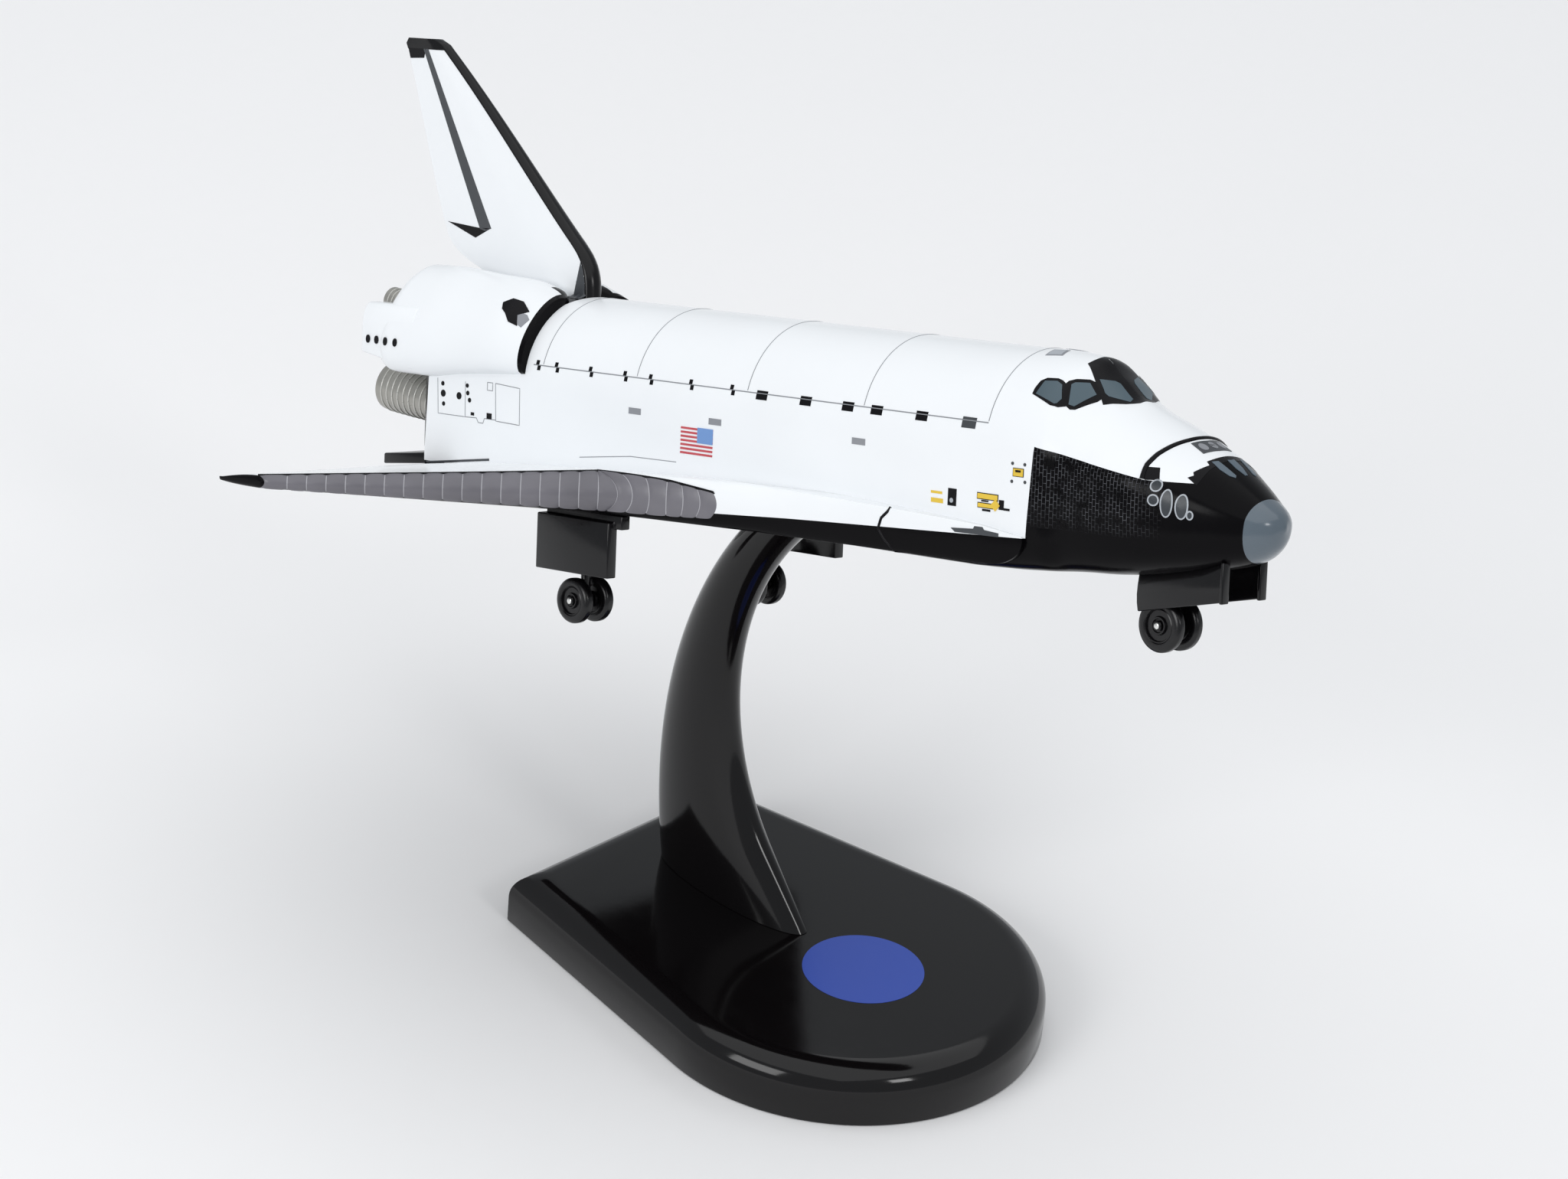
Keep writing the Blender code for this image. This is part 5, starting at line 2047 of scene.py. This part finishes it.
class Inker:
    """Lays thin closed patches and lines of ink over the orbiter's skins."""

    lift: float = 0.03
    sunk: float = 0.08
    patch_step: float = 0.4
    line_step: float = 0.35
    grid: float = 0.55
    margin: float = 0.12
    flat_side_x: float = 8.5
    # A bead's radius, and how deep its middle lies, as shares of its line's width
    bead: float = 0.54
    bead_depth: float = 0.16
    bead_sides: int = 8

    def __init__(self, skins: Iterable[Shape]) -> None:
        """Takes the starboard skins, in orbiter millimetres."""
        self.tree = BVHTree.FromPolygons(*joined(skins))

    @staticmethod
    def outline(points: Sequence[Point], size: float, closed: bool = True) -> list[Vector]:
        """Points with more between them, so that none are further apart than a size.

        Args:
            points: The points.
            size: The greatest distance.
            closed: Whether they are a loop.

        Returns:
            The old and the new points.
        """
        corners = [Vector(p) for p in points]
        pairs = zip(corners, corners[1:] + corners[:1]) if closed else zip(corners, corners[1:])
        out = []
        for a, b in pairs:
            out += [a.lerp(b, t) for t in steps(0, 1, size / max(size, (b - a).length))[:-1]]
        return out if closed else [*out, corners[-1]]

    def patch(self, mark: Print) -> Shape:
        """A thin closed patch of ink that follows the skin under its outline.

        Args:
            mark: The print.

        Returns:
            Its shape.
        """
        edge = self.outline(mark.outline, self.patch_step)
        middle = sum(edge, Vector()) / len(edge)
        normal = sum((a.cross(b) for a, b in zip(edge, edge[1:] + edge[:1])), Vector()).normalized()
        round_part = abs(middle.x) < self.flat_side_x
        outward = Vector((middle.x, 0, middle.z)) if round_part else Vector((-1, 0, 0))
        if normal.dot(outward) < 0:
            normal.negate()
        across = normal.orthogonal().normalized()
        over = normal.cross(across)
        flat = [Vector(((p - middle).dot(across), (p - middle).dot(over))) for p in edge]
        xs, ys = (steps(min(axis), max(axis), self.grid) for axis in zip(*flat))
        inner = [p for p in (Vector((x, y)) for x in xs for y in ys) if self.inside(p, flat)]
        ring = [(k, (k + 1) % len(flat)) for k in range(len(flat))]
        points, _, faces, *_ = delaunay_2d_cdt(flat + inner, ring, [], 1, 1e-6)
        top, bottom = [], []
        for p in points:
            start = middle + across * p.x + over * p.y
            hit, face, *_ = self.tree.ray_cast(start + normal * mark.reach, -normal)
            if hit is None:
                hit, face, *_ = self.tree.find_nearest(start)
            face = face * math.copysign(1, face.dot(normal))
            top.append(hit + face * self.lift * mark.layer)
            bottom.append(hit - face * self.sunk)
        size = len(top)
        used = dict.fromkeys(pair for face in faces for pair in zip(face, face[1:] + face[:1]))
        walls = [(b, a, a + size, b + size) for a, b in used if (b, a) not in used]
        under = [tuple(i + size for i in reversed(face)) for face in faces]
        return top + bottom, [*map(tuple, faces), *under, *walls]

    def inside(self, p: Vector, loop: Sequence[Vector]) -> bool:
        """Whether a flat point is inside a loop and keeps a margin from its points.

        Args:
            p: The point.
            loop: The loop's points.

        Returns:
            Whether it is.
        """
        within = False
        for a, b in zip(loop, [*loop[1:], loop[0]]):
            if (p - a).length < self.margin:
                return False
            if (a.y > p.y) != (b.y > p.y) and p.x < a.x + (p.y - a.y) * (b.x - a.x) / (b.y - a.y):
                within = not within
        return within

    def seed(self, lines: Iterable[Line], side: Side) -> bpy.types.Mesh:
        """A mesh of edges that run just under the skin along some lines.

        Args:
            lines: The lines.
            side: The side that they are on.

        Returns:
            The mesh.
        """
        verts, edges = [], []
        for line in lines:
            depth = self.bead_depth * line.width
            first = len(verts)
            for p in self.outline(line.points, self.line_step, closed=False):
                hit, face, *_ = self.tree.find_nearest(p)
                place = hit - face * depth * math.copysign(1, face.dot(Vector((hit.x, 0, hit.z))))
                verts.append((-side.value * place.x, place.y, place.z))
            edges += [(k, k + 1) for k in range(first, len(verts) - 1)]
        mesh = bpy.data.meshes.new("lines")
        mesh.from_pydata(verts, edges, [])
        return mesh

    def build(self, shop: Workshop, marks: Sequence[Print], lines: Sequence[Line]) -> None:
        """Prints every mark and line on both sides, one piece for each ink.

        Args:
            shop: Where pieces are made.
            marks: The inked areas.
            lines: The lines.
        """
        for ink in sorted({mark.ink for mark in marks}):
            starboard = joined(self.patch(mark) for mark in marks if mark.ink == ink)
            shop.piece(f"prints_{ink}", joined([starboard, mirrored(starboard)]), ink, sharp=60)
        tree = bead_tree()
        for ink, width in sorted({(line.ink, line.width) for line in lines}):
            some = [line for line in lines if (line.ink, line.width) == (ink, width)]
            values = {"Radius": self.bead * width, "Sides": self.bead_sides, "Material": shop.materials[ink]}
            for side in Side:
                name = f"lines_{ink}_{round(100 * width)}_{side.label}"
                piece = shop.grown(name, tree, self.seed(some, side), values)
                piece.data.transform(shop.placement)
                shop.dress(piece, ink, BODY, (), 60)


# Studio and camera


@dataclass(frozen=True)
class SoftLight:
    """A large area light that looks at a point."""

    name: str
    place: Point
    target: Point
    size: Flat
    watts: float

    def build(self) -> None:
        """Adds the light."""
        data = bpy.data.lights.new(self.name, "AREA")
        data.shape, data.size, data.size_y, data.energy = "RECTANGLE", *self.size, self.watts
        obj = linked(self.name, data)
        obj.location = self.place
        obj.rotation_euler = (Vector(self.target) - Vector(self.place)).to_track_quat("-Z", "Y").to_euler()


@dataclass
class Studio:
    """A pale floor, a pale surround and soft lights from above."""

    floor_half: float = 3.0
    floor_colour: str = "#f9f8f8"
    world_colour: str = "#eff4f9"
    world_strength: float = 0.5
    lights: tuple[SoftLight, ...] = (
        SoftLight("overhead", (0.0, 0.0, 1.0), (0.0, 0.0, 0.0), (1.8, 1.8), 7.4),
        SoftLight("from_left", (-0.95, 0.05, 0.5), (0.0, 0.0, 0.05), (0.5, 0.4), 3.0),
        SoftLight("by_camera", (-0.18, -1.02, 0.75), (0.0, 0.0, 0.05), (0.22, 0.22), 1.4),
    )

    def build(self) -> None:
        """Adds the floor, the surround and the lights."""
        half = self.floor_half
        mesh = bpy.data.meshes.new("floor")
        corners = [(-half, -half, 0), (half, -half, 0), (half, half, 0), (-half, half, 0)]
        mesh.from_pydata(corners, [], [(0, 1, 2, 3)])
        # Matt seamless paper
        paper = Finish("floor_paper", self.floor_colour, 0.85, grain_mm=2.0, bump_mm=0.0, mottle=0.002)
        mesh.materials.append(paper.build())
        linked("floor", mesh)
        world = bpy.data.worlds.new("surround")
        world.use_nodes = True
        back = world.node_tree.nodes["Background"]
        back.inputs["Color"].default_value = linear(self.world_colour)
        back.inputs["Strength"].default_value = self.world_strength
        bpy.context.scene.world = world
        for light in self.lights:
            light.build()


@dataclass(frozen=True)
class PhotoCamera:
    """The photograph's camera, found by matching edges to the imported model."""

    place_mm: Point = (-308.0559, -270.0627, 269.3867)
    azimuth: float = -48.1079
    elevation: float = 28.6873
    roll: float = 4.9895
    lens_px: float = 6266.0
    width_px: float = 2048.0
    sensor_mm: float = 36.0
    clip_m: Flat = (0.01, 20.0)

    def build(self) -> None:
        """Adds the camera and makes it the scene's."""
        az, el, roll = (math.radians(v) for v in (self.azimuth, self.elevation, self.roll))
        back = Vector((math.sin(az) * math.cos(el), -math.cos(az) * math.cos(el), math.sin(el)))
        right = (-back).cross(Vector((0, 0, 1))).normalized()
        up = right.cross(-back)
        across = right * math.cos(roll) + up * math.sin(roll)
        over = up * math.cos(roll) - right * math.sin(roll)
        data = bpy.data.cameras.new("photo_camera")
        data.sensor_width = self.sensor_mm
        data.lens = self.sensor_mm * self.lens_px / self.width_px
        data.clip_start, data.clip_end = self.clip_m
        camera = linked("photo_camera", data)
        turn = Matrix((across, over, back)).transposed().to_4x4()
        camera.matrix_world = Matrix.Translation(Vector(self.place_mm) * MM) @ turn
        bpy.context.scene.camera = camera
        bpy.context.scene.view_settings.view_transform = "Standard"


def main() -> None:
    """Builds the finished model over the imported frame."""
    logging.basicConfig(level=logging.INFO, format="%(message)s")
    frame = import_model()
    placement = orbiter_placement(frame["joints"])
    shop = Workshop(frame, placement, make_materials(placement))
    body, pods = Fuselage(), Pods()
    skins = [part.build(shop) for part in (body, pods, Wings(), Fin())]
    for part in (Engines(), *GEARS, Doors(), Stand()):
        part.build(shop)
    arcs = [Line("ink_line", 0.1, body.arc(s)) for s in BAY_DOOR_JOINTS_S]
    Inker([*skins, pods.box()]).build(shop, MARKS, (*LINES, *arcs))
    Studio().build()
    PhotoCamera().build()
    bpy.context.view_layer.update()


if __name__ == "__main__":
    main()
